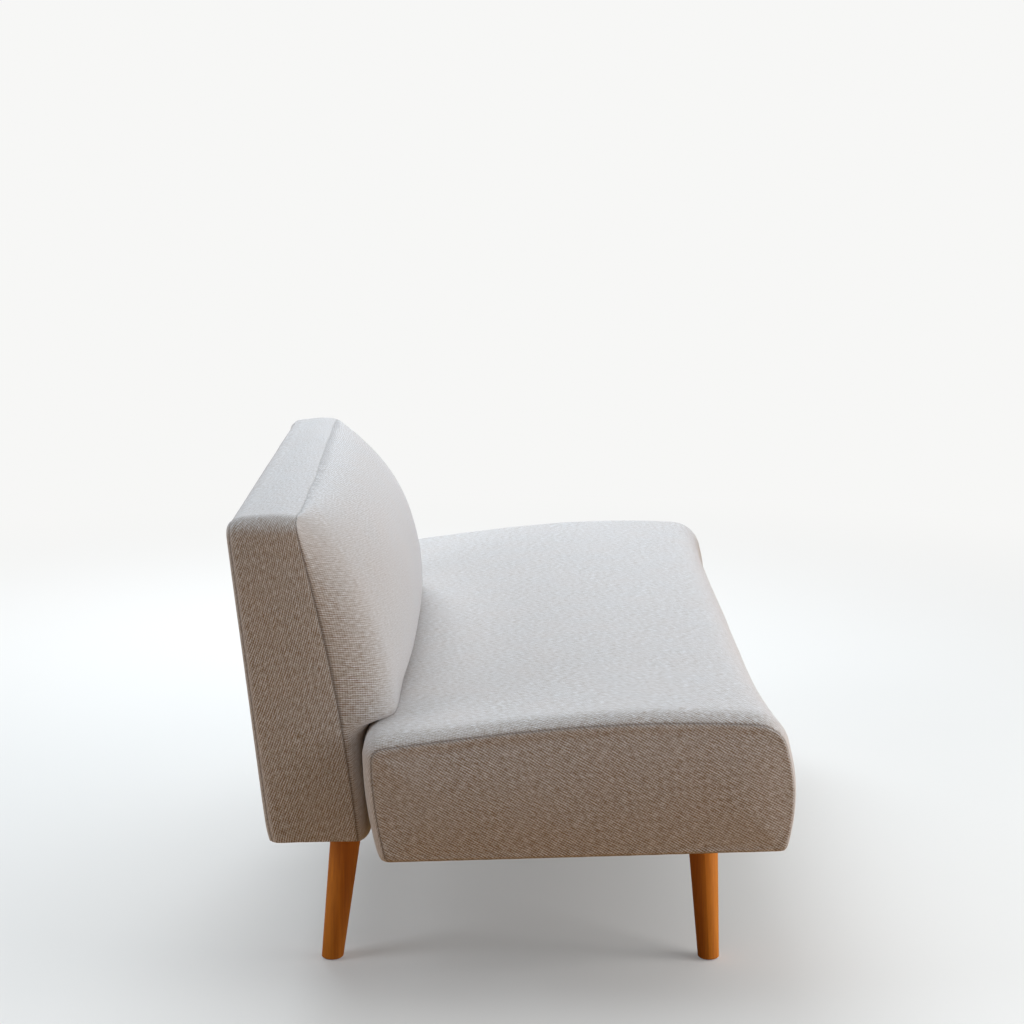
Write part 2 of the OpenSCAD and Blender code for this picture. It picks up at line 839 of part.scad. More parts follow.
function boxing_row(p, depth) =
    let (r = back_rear_r - depth)
    concat(
        [
            let (x = p[0] + p[2] * depth, z = p[1] + p[3] * depth, y = seam_y(z) + soft_gap)
            [x, y, z + foot_rise(p, y)]
        ],
        [
            for (a = [0, 30, 60, 90])
                let (
                    inset = depth + r * (1 - cos(a)),
                    x = p[0] + p[2] * inset,
                    z = p[1] + p[3] * inset,
                    y = rear_y(z) - back_rear_r + r * sin(a)
                )
                [x, y, z + foot_rise(p, y)]
        ]
    );

module back_cover_boxing() {
    color(fabric_colour)
        at_back()
            sheet(
                [for (p = boxing_path()) boxing_row(p, 0)],
                [for (p = boxing_path()) boxing_row(p, fabric_t)]
            );
}

module back_edge_padding() {
    outer = fabric_t + soft_gap;
    inner = back_pad_depth;
    front = back_foam_plane - soft_gap;
    color(wadding_colour)
        at_back()
            sheet(
                [for (p = boxing_path()) padding_row(p, outer, front)],
                [for (p = boxing_path()) padding_row(p, inner, front)]
            );
}

function padding_row(p, depth, front) =
    let (
        x = p[0] + p[2] * depth,
        z = p[1] + p[3] * depth,
        near = lean_y(-front, z),
        far = lean_y(-back_rear_r, z)
    )
    [[x, near, z + foot_rise(p, near)], [x, far, z + foot_rise(p, far)]];

// Back frame
frame_half = half_back - back_pad_depth - soft_gap;
frame_slack = back_corner_r - back_pad_depth + 4 * soft_gap;
frame_top = (back_rise - back_pad_depth - soft_gap) / cos(back_lean) - frame_slack;
frame_foot = frame_z + frame_slack / 3;

module back_stile(from) {
    color(timber_colour)
        at_back()
            bar(from, from + stile_w,
                lean_box(-back_frame_front, -back_frame_rear, frame_foot, frame_top));
}

module back_stile_left() {
    back_stile(frame_half - stile_w);
}

module back_stile_right() {
    back_stile(-frame_half);
}

module back_rail(low) {
    color(timber_colour)
        at_back()
            bar(-frame_half + stile_w, frame_half - stile_w,
                lean_box(-back_frame_front, -back_frame_rear, low, low + stile_w));
}

module back_top_rail() {
    back_rail(frame_top - stile_w);
}

module back_bottom_rail() {
    back_rail(frame_foot);
}

module back_mid_stiles() {
    middle = (frame_half - stile_w) / back_upright_straps;
    color(timber_colour)
        at_back()
            for (side = [-1, 1])
                bar(side * middle - stile_w / 2, side * middle + stile_w / 2,
                    lean_box(-back_frame_front, -back_frame_rear, frame_foot + stile_w,
                        frame_top - stile_w));
}

// Base board: lies flat in the back's underside and carries the right rear leg
board_front = -back_seam_gap / 8;
board_low = frame_z;
base_screw_y = board_front + rail_t * board_screw_share;
rear_leg_x = half_back - back_x - rear_leg_inset;

// Rear edge of the board at one level: bevelled to meet the leaning frame
function board_rear(z) =
    let (
        p = back_yz(0, z),
        run = cos(frame_tilt) + sin(frame_tilt) * tan(back_lean)
    )
    back_yz((lean_y(-back_frame_front, p[1]) - fit - p[0]) / run, z);

module back_base_board() {
    color(timber_colour)
        difference() {
            bar(back_x - frame_half, back_x + frame_half, [
                back_yz(board_front, board_low), board_rear(board_low),
                board_rear(board_low + board_t), back_yz(board_front, board_low + board_t)
            ]);
            in_back_base() {
                leg_board_bore(-rear_leg_x, rear_leg_setback);
                screw_row(base_screw_y, screw_r + fit / 2, 0, screw_len - bracket_t);
            }
        }
}

back_strap_low = frame_foot + stile_w;
back_strap_high = frame_top - stile_w;
back_strap_w = (back_strap_high - back_strap_low) / back_long_straps * back_strap_share;
back_long_z = spread(back_strap_low, back_strap_high, back_long_straps);
back_upright_x = spread(-frame_half + stile_w, frame_half - stile_w, back_upright_straps);

module back_webbing_long() {
    color(strap_colour)
        in_back_frame()
            for (k = [0:back_long_straps - 1])
                translate([0, -back_strap_plane, back_long_z[k] - back_strap_w / 2])
                    linear_extrude(back_strap_w)
                        polygon(strap_outline(
                            strap_line(-frame_half, frame_half, back_upright_x, strap_w, k)));
}

module back_webbing_upright() {
    color(strap_colour)
        in_back_frame()
            for (k = [0:back_upright_straps - 1])
                translate([back_upright_x[k] - strap_w / 2, -back_strap_plane, 0])
                    rotate([90, 0, 90])
                        linear_extrude(strap_w)
                            polygon([
                                for (p = strap_outline(
                                    strap_line(frame_foot + board_t + stile_w / 2, frame_top,
                                        back_long_z, back_strap_w, k + 1)))
                                    [p[1], p[0]]
                            ]);
}

// Rear padding and rear panel follow the crowned rear face and turn in at its foot
rear_low_z = back_foot_z + return_z + back_rear_r;
rear_high_z = back_top_h - back_rear_r - 4 * soft_gap;
rear_half = half_back - back_rear_r - 4 * soft_gap;

function rear_line(depth, from) = concat(
    [
        for (a = [from:30:-1])
            let (r = back_rear_r - depth)
            [rear_y(rear_low_z) - back_rear_r + r * cos(a), rear_low_z + r * sin(a)]
    ],
    [
        for (k = [0:6])
            let (z = rear_low_z + (rear_high_z - rear_low_z) * k / 6)
            [rear_y(z) - depth, z]
    ]
);

module back_rear_padding() {
    line = rear_line(fabric_t + soft_gap, -30);
    inner = back_frame_rear - soft_gap;
    color(wadding_colour)
        at_back()
            bar(-rear_half, rear_half, concat(
                line,
                [
                    [lean_y(-inner, rear_high_z), rear_high_z],
                    [lean_y(-inner, line[0][1]), line[0][1]]
                ]
            ));
}

// Outline of the rear panel, whose upper corners stay inside the boxing's rounded ones
rear_corner_r = max(back_corner_r - back_rear_r - 4 * soft_gap, soft_gap);

module rear_panel_outline() {
    wide = rear_half - rear_corner_r;
    high = rear_high_z - rear_corner_r;
    far_y = rear_y(rear_high_z) + overrun;
    translate([0, far_y, 0])
        rotate([90, 0, 0])
            linear_extrude(far_y - seam_foot_y)
                polygon(concat(
                    [[-rear_half, back_foot_z - overrun], [rear_half, back_foot_z - overrun]],
                    [
                        for (side = [1, -1], k = [0:4])
                            let (a = side > 0 ? 22.5 * k : 90 - 22.5 * k)
                            [
                                side * (wide + rear_corner_r * cos(a)),
                                high + rear_corner_r * sin(a)
                            ]
                    ]
                ));
}

module back_cover_rear() {
    outer = rear_line(0, -90);
    inner = rear_line(fabric_t, -90);
    color(fabric_colour)
        at_back()
            intersection() {
                bar(-rear_half, rear_half,
                    concat(outer, [for (k = [len(inner) - 1:-1:0]) inner[k]]));
                rear_panel_outline();
            }
}

module back_bottom_cloth() {
    half = half_back - back_turn / 2;
    from = -back_seam_gap / 2;
    color(cloth_colour)
        in_back_base()
            difference() {
                translate([back_x - half, from, 0])
                    cube([2 * half, back_base_t - from - back_rear_r, under_cloth_t]);
                translate([-rear_leg_x, rear_leg_setback, -overrun])
                    cylinder(h = 2 * overrun, r = leg_top_r + leg_room, $fn = bolt_fn);
                for (x = bracket_places, s = bracket_screw_shares)
                    translate([x + s * bracket_w, base_screw_y, -overrun])
                        cylinder(h = 2 * overrun, r = screw_r + fit, $fn = screw_fn);
            }
}

// Legs: turned cones, cut flat at the floor and parallel to their board at the top
glide_proud = glide_t / 2;

module leg_cone(splay_d) {
    slack = leg_top_r;
    reach = seat_underside_h + leg_top_r;
    rotate([180 + splay_d, -leg_splay_l, 0])
        translate([0, 0, -slack])
            cylinder(h = reach + slack, r1 = leg_top_r + slack * leg_taper,
                r2 = leg_top_r - reach * leg_taper, $fn = leg_fn);
}

// The middle of each leg's top, on its board's underside, with X counted away from the middle.
// Both front legs and the left rear one stand under the seat, the right rear one under the back.
function leg_top(x, at) = [x, at[0], at[1]];

front_leg_top = leg_top(front_leg_x, seat_yz(front_leg_setback, frame_z));
open_leg_top = leg_top(front_leg_x, seat_yz(open_leg_y, frame_z));
back_leg_top = leg_top(rear_leg_x, back_yz(rear_leg_setback, board_low));
left_tops = [front_leg_top, open_leg_top];
right_tops = [front_leg_top, back_leg_top];

// Where a leg's middle line meets the level of its foot
function foot_middle(top, splay_d) =
    let (drop = top[2] - glide_proud)
    [
        top[0] + drop * tan(leg_splay_l),
        top[1] + drop * tan(splay_d) / cos(leg_splay_l)
    ];

module leg(top, splay_d) {
    foot = foot_middle(top, splay_d);
    foot_r = leg_top_r - (top[2] - glide_proud) * leg_taper;
    size = 2 * seat_underside_h;
    color(wood_colour)
        difference() {
            intersection() {
                translate(top)
                    leg_cone(splay_d);
                translate([foot[0], foot[1], glide_proud])
                    cylinder(h = size, r1 = foot_r - foot_bevel, r2 = foot_r - foot_bevel + size,
                        $fn = leg_fn);
                translate(top)
                    rotate([-frame_tilt, 0, 0])
                        translate([-size / 2, -size / 2, -size])
                            cube(size);
            }
            translate(top)
                rotate([-frame_tilt, 0, 0])
                    translate([0, 0, -leg_bolt_grip - overrun])
                        cylinder(h = leg_bolt_grip + 2 * overrun, r = leg_bolt_r + fit,
                            $fn = bolt_fn);
            translate([foot[0], foot[1], 0])
                cylinder(h = glide_t + fit, r = glide_r + fit, $fn = bolt_fn);
        }
}

front_splay = -(leg_splay_d - frame_tilt);
rear_splay = leg_splay_d + frame_tilt;

module front_leg_left() {
    leg(front_leg_top, front_splay);
}

module front_leg_right() {
    mirror([1, 0, 0])
        front_leg_left();
}

module rear_leg_left() {
    leg(open_leg_top, rear_splay);
}

module rear_leg_right() {
    mirror([1, 0, 0])
        leg(back_leg_top, rear_splay);
}

module four_legs() {
    for (side = [0, 1], top = side == 0 ? left_tops : right_tops)
        mirror([side, 0, 0])
            translate(top)
                rotate([-frame_tilt, 0, 0])
                    children();
}

module leg_glides() {
    splays = [front_splay, rear_splay];
    color(felt_colour)
        for (side = [0, 1], k = [0, 1])
            let (foot = foot_middle((side == 0 ? left_tops : right_tops)[k], splays[k]))
                mirror([side, 0, 0])
                    translate([foot[0], foot[1], 0])
                        cylinder(h = glide_t, r = glide_r, $fn = bolt_fn);
}

module leg_hanger_bolts() {
    color(steel_colour)
        four_legs()
            translate([0, 0, -leg_bolt_grip])
                cylinder(h = leg_bolt_grip + board_t, r = leg_bolt_r, $fn = bolt_fn);
}

tee_flange_t = 1.5;

module leg_tee_nuts() {
    barrel = board_t / 2;
    color(steel_colour)
        four_legs()
            difference() {
                union() {
                    translate([0, 0, board_t - barrel])
                        cylinder(h = barrel + tee_flange_t / 2, r = tee_barrel_r, $fn = bolt_fn);
                    translate([0, 0, board_t])
                        cylinder(h = tee_flange_t, r = tee_flange_r, $fn = bolt_fn);
                }
                translate([0, 0, -overrun])
                    cylinder(h = board_t + 2 * overrun, r = leg_bolt_r + fit / 2, $fn = bolt_fn);
            }
}

// Joining brackets: flat steel with two bends, screwed under both frames, up from seat to back
function bracket_outline() =
    let (
        bend = seat_d - bracket_t,
        step = seat_yz(bend, -fit)[0] - seam_foot_y,
        low_in = seat_yz(bend - bracket_flange, -fit),
        low = seat_yz(bend, -fit),
        high = back_yz(step / cos(frame_tilt), -fit),
        high_in = back_yz(step / cos(frame_tilt) + bracket_flange, -fit),
        down = [0, -bracket_t],
        past = [bracket_t, -bracket_t - bracket_t * tan(frame_tilt)]
    )
    [low_in, low, high, high_in, high_in + down, high + past, low + past, low_in + down];

module bracket_screws(radius, from, to) {
    in_seat_frame()
        screw_row(seat_screw_y, radius, from, to);
    in_back_base()
        screw_row(base_screw_y, radius, from, to);
}

module joining_brackets() {
    color(steel_colour)
        difference() {
            for (x = bracket_places)
                bar(x - bracket_w / 2, x + bracket_w / 2, bracket_outline());
            bracket_screws(screw_r + fit, -fit - bracket_t - overrun, overrun);
        }
}

module joining_screws() {
    head_r = 2 * screw_r;
    head_h = screw_r;
    under = -fit - bracket_t;
    color(steel_colour) {
        bracket_screws(screw_r, under - head_h / 2, under + screw_len);
        bracket_screws(head_r, under - head_h, under);
    }
}

seat_front_rail();
seat_rear_rail();
seat_end_rail_left();
seat_end_rail_right();
seat_cross_rails();
seat_leg_board_left();
seat_leg_board_right();
seat_webbing_cross();
seat_webbing_long();
seat_foam();
seat_wadding();
seat_cover_main();
seat_cover_end_left();
seat_cover_end_right();
seat_dust_cover();
back_stile_left();
back_stile_right();
back_top_rail();
back_bottom_rail();
back_mid_stiles();
back_base_board();
back_webbing_long();
back_webbing_upright();
back_front_foam();
back_edge_padding();
back_rear_padding();
back_cover_front();
back_cover_boxing();
back_cover_rear();
back_bottom_cloth();
front_leg_left();
front_leg_right();
rear_leg_left();
rear_leg_right();
leg_glides();
leg_hanger_bolts();
leg_tee_nuts();
joining_brackets();
joining_screws();
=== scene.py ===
"""Looks of the armless sofa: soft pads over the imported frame, wooden legs, studio and camera."""
import json
import math

import bmesh
import bpy
import numpy as np
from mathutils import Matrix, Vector


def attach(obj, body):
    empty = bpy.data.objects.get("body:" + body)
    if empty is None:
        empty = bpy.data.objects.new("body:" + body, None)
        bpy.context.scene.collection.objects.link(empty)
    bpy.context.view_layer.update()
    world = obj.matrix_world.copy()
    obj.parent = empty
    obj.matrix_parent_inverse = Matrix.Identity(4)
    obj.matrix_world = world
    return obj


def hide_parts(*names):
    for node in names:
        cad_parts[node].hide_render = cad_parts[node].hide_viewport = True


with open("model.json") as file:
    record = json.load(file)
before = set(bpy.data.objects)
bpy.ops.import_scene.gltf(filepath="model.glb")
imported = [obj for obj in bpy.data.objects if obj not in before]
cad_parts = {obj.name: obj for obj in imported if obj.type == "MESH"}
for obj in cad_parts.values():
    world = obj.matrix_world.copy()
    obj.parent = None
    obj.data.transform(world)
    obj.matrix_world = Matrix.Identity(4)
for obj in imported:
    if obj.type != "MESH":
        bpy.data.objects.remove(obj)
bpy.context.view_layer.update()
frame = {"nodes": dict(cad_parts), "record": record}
MM = 0.001

# Sizes, in millimetres
# Seat: its section is drawn with the front at y 0 and the underside at z 0, then tilted
SEAT_LEN, SEAT_D, UNDER_H, SEAT_Y0 = 1360.0, 563.0, 230.0, -370.8
TILT = math.radians(1.7)
LOW = 1.4                                # the pads stop this far above the frame's underside
FRONT_T, REAR_T = 185.0, 167.0
CROWN, SKEW = 12.5, 0.85                 # rise of the top, and how far forward it peaks
FRONT_R, REAR_R, LOWER_R, LEAST_R = 54.0, 28.0, 8.0, 2.5
FRONT_FOOT, FRONT_TOP, FRONT_SWELL = 7.0, 2.5, 9.5
REAR_FOOT, REAR_SWELL = 14.0, 4.0
HOLLOW, FAR_SETBACK = 19.5, 12.8         # set-back of the front in the middle and at the far end
FRONT_DRAW = 0.42                        # share of an inset by which the front goes back more
LIFT, LIFT_IN = 8.75, 25.0               # rise of the lower edge, full at that inset
BELLY, BELLY_REACH, BELLY_H = 3.4, 22.0, 50.0   # fullness of the lower edge near the ends
BELLY_IN = 6.0                           # its distance from the end seams

# Seat ends: the seam, the angles of the cloth on both sides of it, and the end panel
SEAM_IN, SEAM_UP, PANEL_UP = 12.5, math.radians(48), math.radians(12)
END_CROWN = 6.0
SEAM_X = SEAT_LEN / 2 - END_CROWN - SEAM_IN * math.tan(PANEL_UP / 2)
SEAM_ROLL = SEAM_IN / (1 - math.sin(SEAM_UP))
END_X = SEAM_X - SEAM_ROLL * math.cos(SEAM_UP)
SPINE_ENDS = np.array([[90.0, 90.0], [SEAT_D - 90.0, 80.0]])   # where an end panel closes
SPINE_H, SPINE_FALL, SPINE_STEP = 92.0, 0.020, 6.0

# Back
BACK_LEN, BACK_INSET, BACK_TOP, BACK_BASE_T = 912.0, 75.0, 660.0, 122.5
BACK_X = BACK_INSET + BACK_LEN / 2 - SEAT_LEN / 2
BACK_FOOT = UNDER_H - SEAT_D * math.tan(TILT) + 5.5 - BACK_BASE_T * math.sin(TILT)
BACK_RISE = BACK_TOP - BACK_FOOT
LEAN = math.radians(6.3)
SEAM_GAP, SEAM_RUN, SEAM_SAG = 10.5, 81.5, 10.5   # the front seam's line behind the seat
CORNER_R, RIM_R = 24.0, 38.0             # top corners, and the arc that the rear roll turns on
REAR_ROLL, TOP_ROLL = 16.0, 13.0         # rear edge's radius, and what the top adds to it
FOOT_TURN, FOOT_TURN_H = 4.0, 12.0       # the rear face turns in at the foot
PROUD, DROP, DROP_FADE = 2.4, 2.4, 25.0  # fullness of the boxing, and sag of its foot
BOXING_W = 110.0                         # the boxing's usual width, which spaces its rows
BULGE, BULGE_H, BULGE_DOWN = 102.0, 508.0, 195.0
BULGE_UP_POWER, BULGE_DOWN_POWER = 2.6, 2.0      # higher is squarer
END_BULGE, END_BULGE_FROM = 66.0, 406.5
WRAP, WRAP_POWER, WRAP_START = 60.0, 2.2, 0.035   # how the front turns round to the ends
REACH, CREASE_BLEND = 43.0, 26.0         # where the back leaves the seat, and how softly
SEAT_CLEAR = 0.3                         # gap between the back's foot and the seat
DRIFT_H = 30.0                           # the top seam's drift fades this far below it
FOOT_FLAT = 60.0                         # the back's foot follows the base board's slope
# Drift of the top seam, fitted to its line in the photograph: bumps have a size, place and width
DRIFT, DRIFT_SLOPE = 0.6, -0.021
DRIFT_BUMPS = ((1.8, -120.0, 100.0), (-7.0, -475.0, 45.0))
DRIFT_WAVE, WAVE_LEN = 0.5, 31.0

# Cloth next to a seam and away from it, by the distance from the seam
GROOVE_W, SHADE_W = 1.6, 1.5
SWELL_SHARE, SWELL_AT, SWELL_W = 0.25, 6.5, 4.0
PUCKER_AT, PUCKER_W, PUCKER_END = 5.0, 9.0, 40.0
PUCKER_LEN, LUMP_LEN, LUMP_FROM = 0.034, 0.22, 12.0       # the first two in metres

# Under cloths: their edges and the legs that pass through them
SEAT_CLOTH_X, SEAT_CLOTH_Y = (-656.0, 656.0), (-335.4, 153.0)
BACK_CLOTH_X, BACK_CLOTH_Y = (-582.0, 284.0), (196.0, 309.0)
SEAT_LEGS = [(-449.0, -268.0), (449.0, -268.0), (449.0, 82.0)]
BACK_LEGS = [(-449.0, 225.0)]
LEG_HOLE = 21.5
CLOTH_STEP, HELD_FADE = 7.0, 4000.0      # mesh size, and square of the reach of what holds it
CLOTH_UP = 0.35                          # how far the cloths stand over the frame's underside
BRACKETS = [BACK_X + k * 215.0 for k in (-1, 0, 1)]     # they hold both cloths up
SEAT_HOLD_Y, BACK_HOLD_Y = 140.0, 225.0
SEAT_HOLD_R, BACK_HOLD_R = 45.0, 40.0


# Seat outline
def arc(cy, cz, r, a0, a1, n):
    a = np.radians(np.linspace(a0, a1, n + 1))
    return np.stack([cy + r * np.cos(a), cz + r * np.sin(a)], 1)


def swell(p, q, height, n):
    """Points between p and q on a shallow parabola."""
    s = np.linspace(0, 1, n + 1)[1:-1, None]
    along = q - p
    side = np.array([along[1], -along[0]]) / np.hypot(*along)
    return p + along * s + 4 * height * s * (1 - s) * side


def seat_loop(inset=0.0, setback=0.0, low=LOW):
    """Closed outline of one seat section in the seat's own axes, dense."""
    lower, front, rear = (max(r - inset, LEAST_R) for r in (LOWER_R, FRONT_R, REAR_R))
    face = setback + FRONT_DRAW * inset
    a = arc(FRONT_FOOT + face + lower, low + lower, lower, 270, 188, 12)
    b = arc(FRONT_TOP + face + front, FRONT_T - inset - front, front, 174, 96, 40)
    c = arc(SEAT_D - inset - rear, REAR_T - inset - rear, rear, 84, -6, 24)
    d = arc(SEAT_D - REAR_FOOT - inset - lower, low + lower, lower, -8, -90, 12)
    s = np.linspace(0, 1, 201)[1:-1]
    top = b[-1] + (c[0] - b[-1]) * s[:, None]
    top[:, 1] += CROWN * np.sin(np.pi * s ** SKEW)
    under = d[-1] + (a[0] - d[-1]) * np.linspace(0, 1, 121)[1:-1, None]
    return np.concatenate([a, swell(a[-1], b[0], -FRONT_SWELL, 60), b, top, c,
                           swell(c[-1], d[0], -REAR_SWELL, 50), d, under])


def resample(loop, count, sigma=4.0, dense=1600):
    """Even points on a closed outline, with its kinks softly rounded, and its length."""
    closed = np.concatenate([loop, loop[:1]])
    s = np.concatenate([[0], np.cumsum(np.hypot(*np.diff(closed, axis=0).T))])
    u = np.arange(dense) / dense * s[-1]
    p = np.stack([np.interp(u, s, closed[:, k]) for k in (0, 1)], 1)
    f = np.fft.fftfreq(dense, s[-1] / dense)
    keep = np.exp(-2 * (np.pi * f * sigma) ** 2)
    p = np.real(np.fft.ifft(np.fft.fft(p, axis=0) * keep[:, None], axis=0))
    take = np.arange(count) * dense / count
    wrap = np.concatenate([p, p[:1]])
    return np.stack([np.interp(take, np.arange(dense + 1), wrap[:, k]) for k in (0, 1)], 1), s[-1]


ORIGIN_Y = SEAT_Y0 - FRONT_T / 2 * math.sin(TILT)
SEAM_FOOT_Y = SEAT_Y0 + SEAT_D + SEAM_GAP
REAR_FOOT_Y = SEAM_FOOT_Y + BACK_BASE_T


def to_world(loop):
    """World y and z of points in the seat's own axes."""
    y, z = loop[..., 0], loop[..., 1]
    return (ORIGIN_Y + y * math.cos(TILT) + z * math.sin(TILT),
            UNDER_H - y * math.sin(TILT) + z * math.cos(TILT))


def seam_y(z):
    """Y of the seam round the back's front."""
    t = (z - BACK_FOOT) / BACK_RISE
    return SEAM_FOOT_Y + SEAM_RUN * t - 4 * SEAM_SAG * t * (1 - t)


def rear_y(z):
    """Y of the back's rear face."""
    above = z - BACK_FOOT
    turn = FOOT_TURN * np.exp(-np.clip(above, 0, None) / FOOT_TURN_H)
    return REAR_FOOT_Y + above * math.tan(LEAN) - turn


# Mesh building
class Builder:
    """Collects grids of points into one mesh. Grids meet where their points coincide."""

    def __init__(self):
        self.points, self.faces, self.uv, self.seam, self.along = [], [], [], [], []
        self.count = 0

    def grid(self, points, uv, seam, along, lay=0.0, flip=False, closed=False, period=0.0):
        """lay is the way the weave's ridges run in the given uv, in degrees."""
        m, n = points.shape[:2]
        index = self.count + np.arange(m * n).reshape(m, n)
        if closed:
            index = np.concatenate([index, index[:, :1]], 1)
        quads = np.stack([index[:-1, :-1], index[1:, :-1], index[1:, 1:], index[:-1, 1:]], -1)
        quads = quads.reshape(-1, 4)
        if flip:
            quads = quads[:, ::-1]
        self.points.append(points.reshape(-1, 3))
        if closed:
            uv = np.concatenate([uv, uv[:, :1] + np.array([0, period])], 1)
        c, d = math.cos(math.radians(lay)), math.sin(math.radians(lay))
        uv = uv @ np.array([[c, -d], [d, c]])
        corner_uv = np.stack([uv[:-1, :-1], uv[1:, :-1], uv[1:, 1:], uv[:-1, 1:]], 2)
        corner_uv = corner_uv.reshape(-1, 4, 2)
        self.uv.append(corner_uv[:, ::-1] if flip else corner_uv)
        self.faces.append(quads)
        self.seam.append(np.broadcast_to(seam, (m, n)).reshape(-1))
        self.along.append(np.broadcast_to(along, (m, n)).reshape(-1))
        self.count += m * n

    def build(self, name, shift=0.0):
        points = (np.concatenate(self.points) + np.array([shift, 0, 0])) * MM
        faces = np.concatenate(self.faces)
        mesh = bpy.data.meshes.new(name)
        mesh.from_pydata(points.tolist(), [], faces.tolist())
        layer = mesh.uv_layers.new(name="UVMap")
        layer.data.foreach_set("uv", (np.concatenate(self.uv).reshape(-1) * MM).astype(np.float32))
        for key, data in (("seam_mm", self.seam), ("along_mm", self.along)):
            attribute = mesh.attributes.new(key, "FLOAT", "POINT")
            attribute.data.foreach_set("value", np.concatenate(data).astype(np.float32))
        b = bmesh.new()
        b.from_mesh(mesh)
        bmesh.ops.remove_doubles(b, verts=b.verts, dist=0.00002)
        bmesh.ops.recalc_face_normals(b, faces=b.faces)
        b.to_mesh(mesh)
        b.free()
        obj = bpy.data.objects.new(name, mesh)
        bpy.context.scene.collection.objects.link(obj)
        mesh.polygons.foreach_set("use_smooth", [True] * len(mesh.polygons))
        return obj


def read(mesh, key):
    out = np.zeros(len(mesh.vertices), np.float32)
    mesh.attributes[key].data.foreach_get("value", out)
    return out


def positions(mesh):
    out = np.zeros(len(mesh.vertices) * 3, np.float32)
    mesh.vertices.foreach_get("co", out)
    return out.reshape(-1, 3).astype(float)


def normals(mesh):
    out = np.zeros(len(mesh.vertices) * 3, np.float32)
    mesh.vertex_normals.foreach_get("vector", out)
    return out.reshape(-1, 3).astype(float)


def waves(p, seed, count, length):
    """Smooth random field over points, with features about length metres wide."""
    rng = np.random.default_rng(seed)
    total = np.zeros(len(p))
    for k in range(count):
        axis = rng.normal(size=3)
        axis /= np.linalg.norm(axis)
        freq = rng.uniform(0.6, 1.5) / length
        total += np.sin(2 * np.pi * (p @ axis * freq + rng.uniform())) * rng.uniform(0.5, 1)
    return total / math.sqrt(count)


def soften(obj, seed, groove, lump, pucker):
    """Presses the seams in, lets the cloth swell next to them and adds slight lumps."""
    mesh = obj.data
    p, n = positions(mesh), normals(mesh)
    d, along = read(mesh, "seam_mm"), read(mesh, "along_mm")
    move = -groove * np.exp(-(d / GROOVE_W) ** 2)
    move += SWELL_SHARE * groove * np.exp(-((d - SWELL_AT) / SWELL_W) ** 2)
    place = np.stack([along * MM, d * MM * 0.2, np.zeros_like(d)], 1)
    ripple = waves(place, seed + 1, 14, PUCKER_LEN)
    move += pucker * ripple * np.exp(-((d - PUCKER_AT) / PUCKER_W) ** 2) * (d < PUCKER_END)
    move += lump * waves(p, seed, 12, LUMP_LEN) * np.clip(d / LUMP_FROM, 0, 1)
    p += n * (move * MM)[:, None]
    mesh.vertices.foreach_set("co", p.reshape(-1).astype(np.float32))
    mesh.update()
    # Weight of the painted shade along the seams, read by the cloth's colour as the seam attribute
    shade = mesh.attributes.new("seam", "FLOAT", "POINT")
    shade.data.foreach_set("value", np.exp(-(d / SHADE_W) ** 2).astype(np.float32))


def fine_ends(length, first=0.9, grow=1.22, largest=9.0):
    """Positions from 0 to length, close together at both ends."""
    steps, total, step = [], 0.0, first
    while total + step < length / 2:
        steps.append(step)
        total += step
        step = min(step * grow, largest)
    half = np.concatenate([[0], np.cumsum(steps)]) * (length / 2) / total
    return np.concatenate([half, (length - half[:-1])[::-1]])


# Seat pad
GIRTH = 300                                            # points round one ring
SEAM_ROWS = np.array([0, 0.8, 1.6, 2.4, 3.2, 4, 5.2, 6.8, 8.8])   # fine rows next to a seam


def seat_ring(x, inset):
    """Ring of points round the seat pad at x, drawn in by inset."""
    share = x / END_X
    setback = HOLLOW * (1 - min(abs(share), 1) ** 4) + FAR_SETBACK * max(share, 0) ** 1.6
    rise = LIFT * min(inset / LIFT_IN, 1) ** 2
    loop, _ = resample(seat_loop(inset, setback, LOW + rise), GIRTH)
    belly = BELLY * math.exp(-((SEAM_X - BELLY_IN - abs(x)) / BELLY_REACH) ** 2)
    loop[:, 1] -= belly * np.clip(1 - loop[:, 1] / BELLY_H, 0, 1)
    y, z = to_world(loop)
    return np.stack([np.full(GIRTH, x), y, z], 1)


def add_seat_cover(b, girth, length):
    """Main panel: it rolls over from one end seam, runs along the seat and rolls in again."""
    steps = np.concatenate([SEAM_ROWS, [11.2, 14, 17, 20, 23.5, 27.5]])
    angles = [a for a in SEAM_UP + steps / SEAM_ROLL if a < math.radians(87)] + [math.pi / 2]
    roll = [(-SEAM_X + SEAM_ROLL * (math.cos(SEAM_UP) - math.cos(a)),
             SEAM_ROLL * (1 - math.sin(a)), SEAM_ROLL * (a - SEAM_UP)) for a in angles]
    edge = roll[-1][2]
    flat = np.linspace(-END_X, END_X, 151)[1:-1]
    stations = roll + [(x, 0.0, edge + END_X - abs(x)) for x in flat]
    stations += [(-x, inset, d) for x, inset, d in roll[::-1]]
    x, inset, seam = np.array(stations).T
    uv = np.zeros((len(stations), GIRTH, 2))
    uv[..., 0] = np.concatenate([[0], np.cumsum(np.hypot(np.diff(x), np.diff(inset)))])[:, None]
    uv[..., 1] = girth
    rings = np.stack([seat_ring(*station[:2]) for station in stations])
    b.grid(rings, uv, seam[:, None], girth[None, :], lay=62, closed=True, period=length)


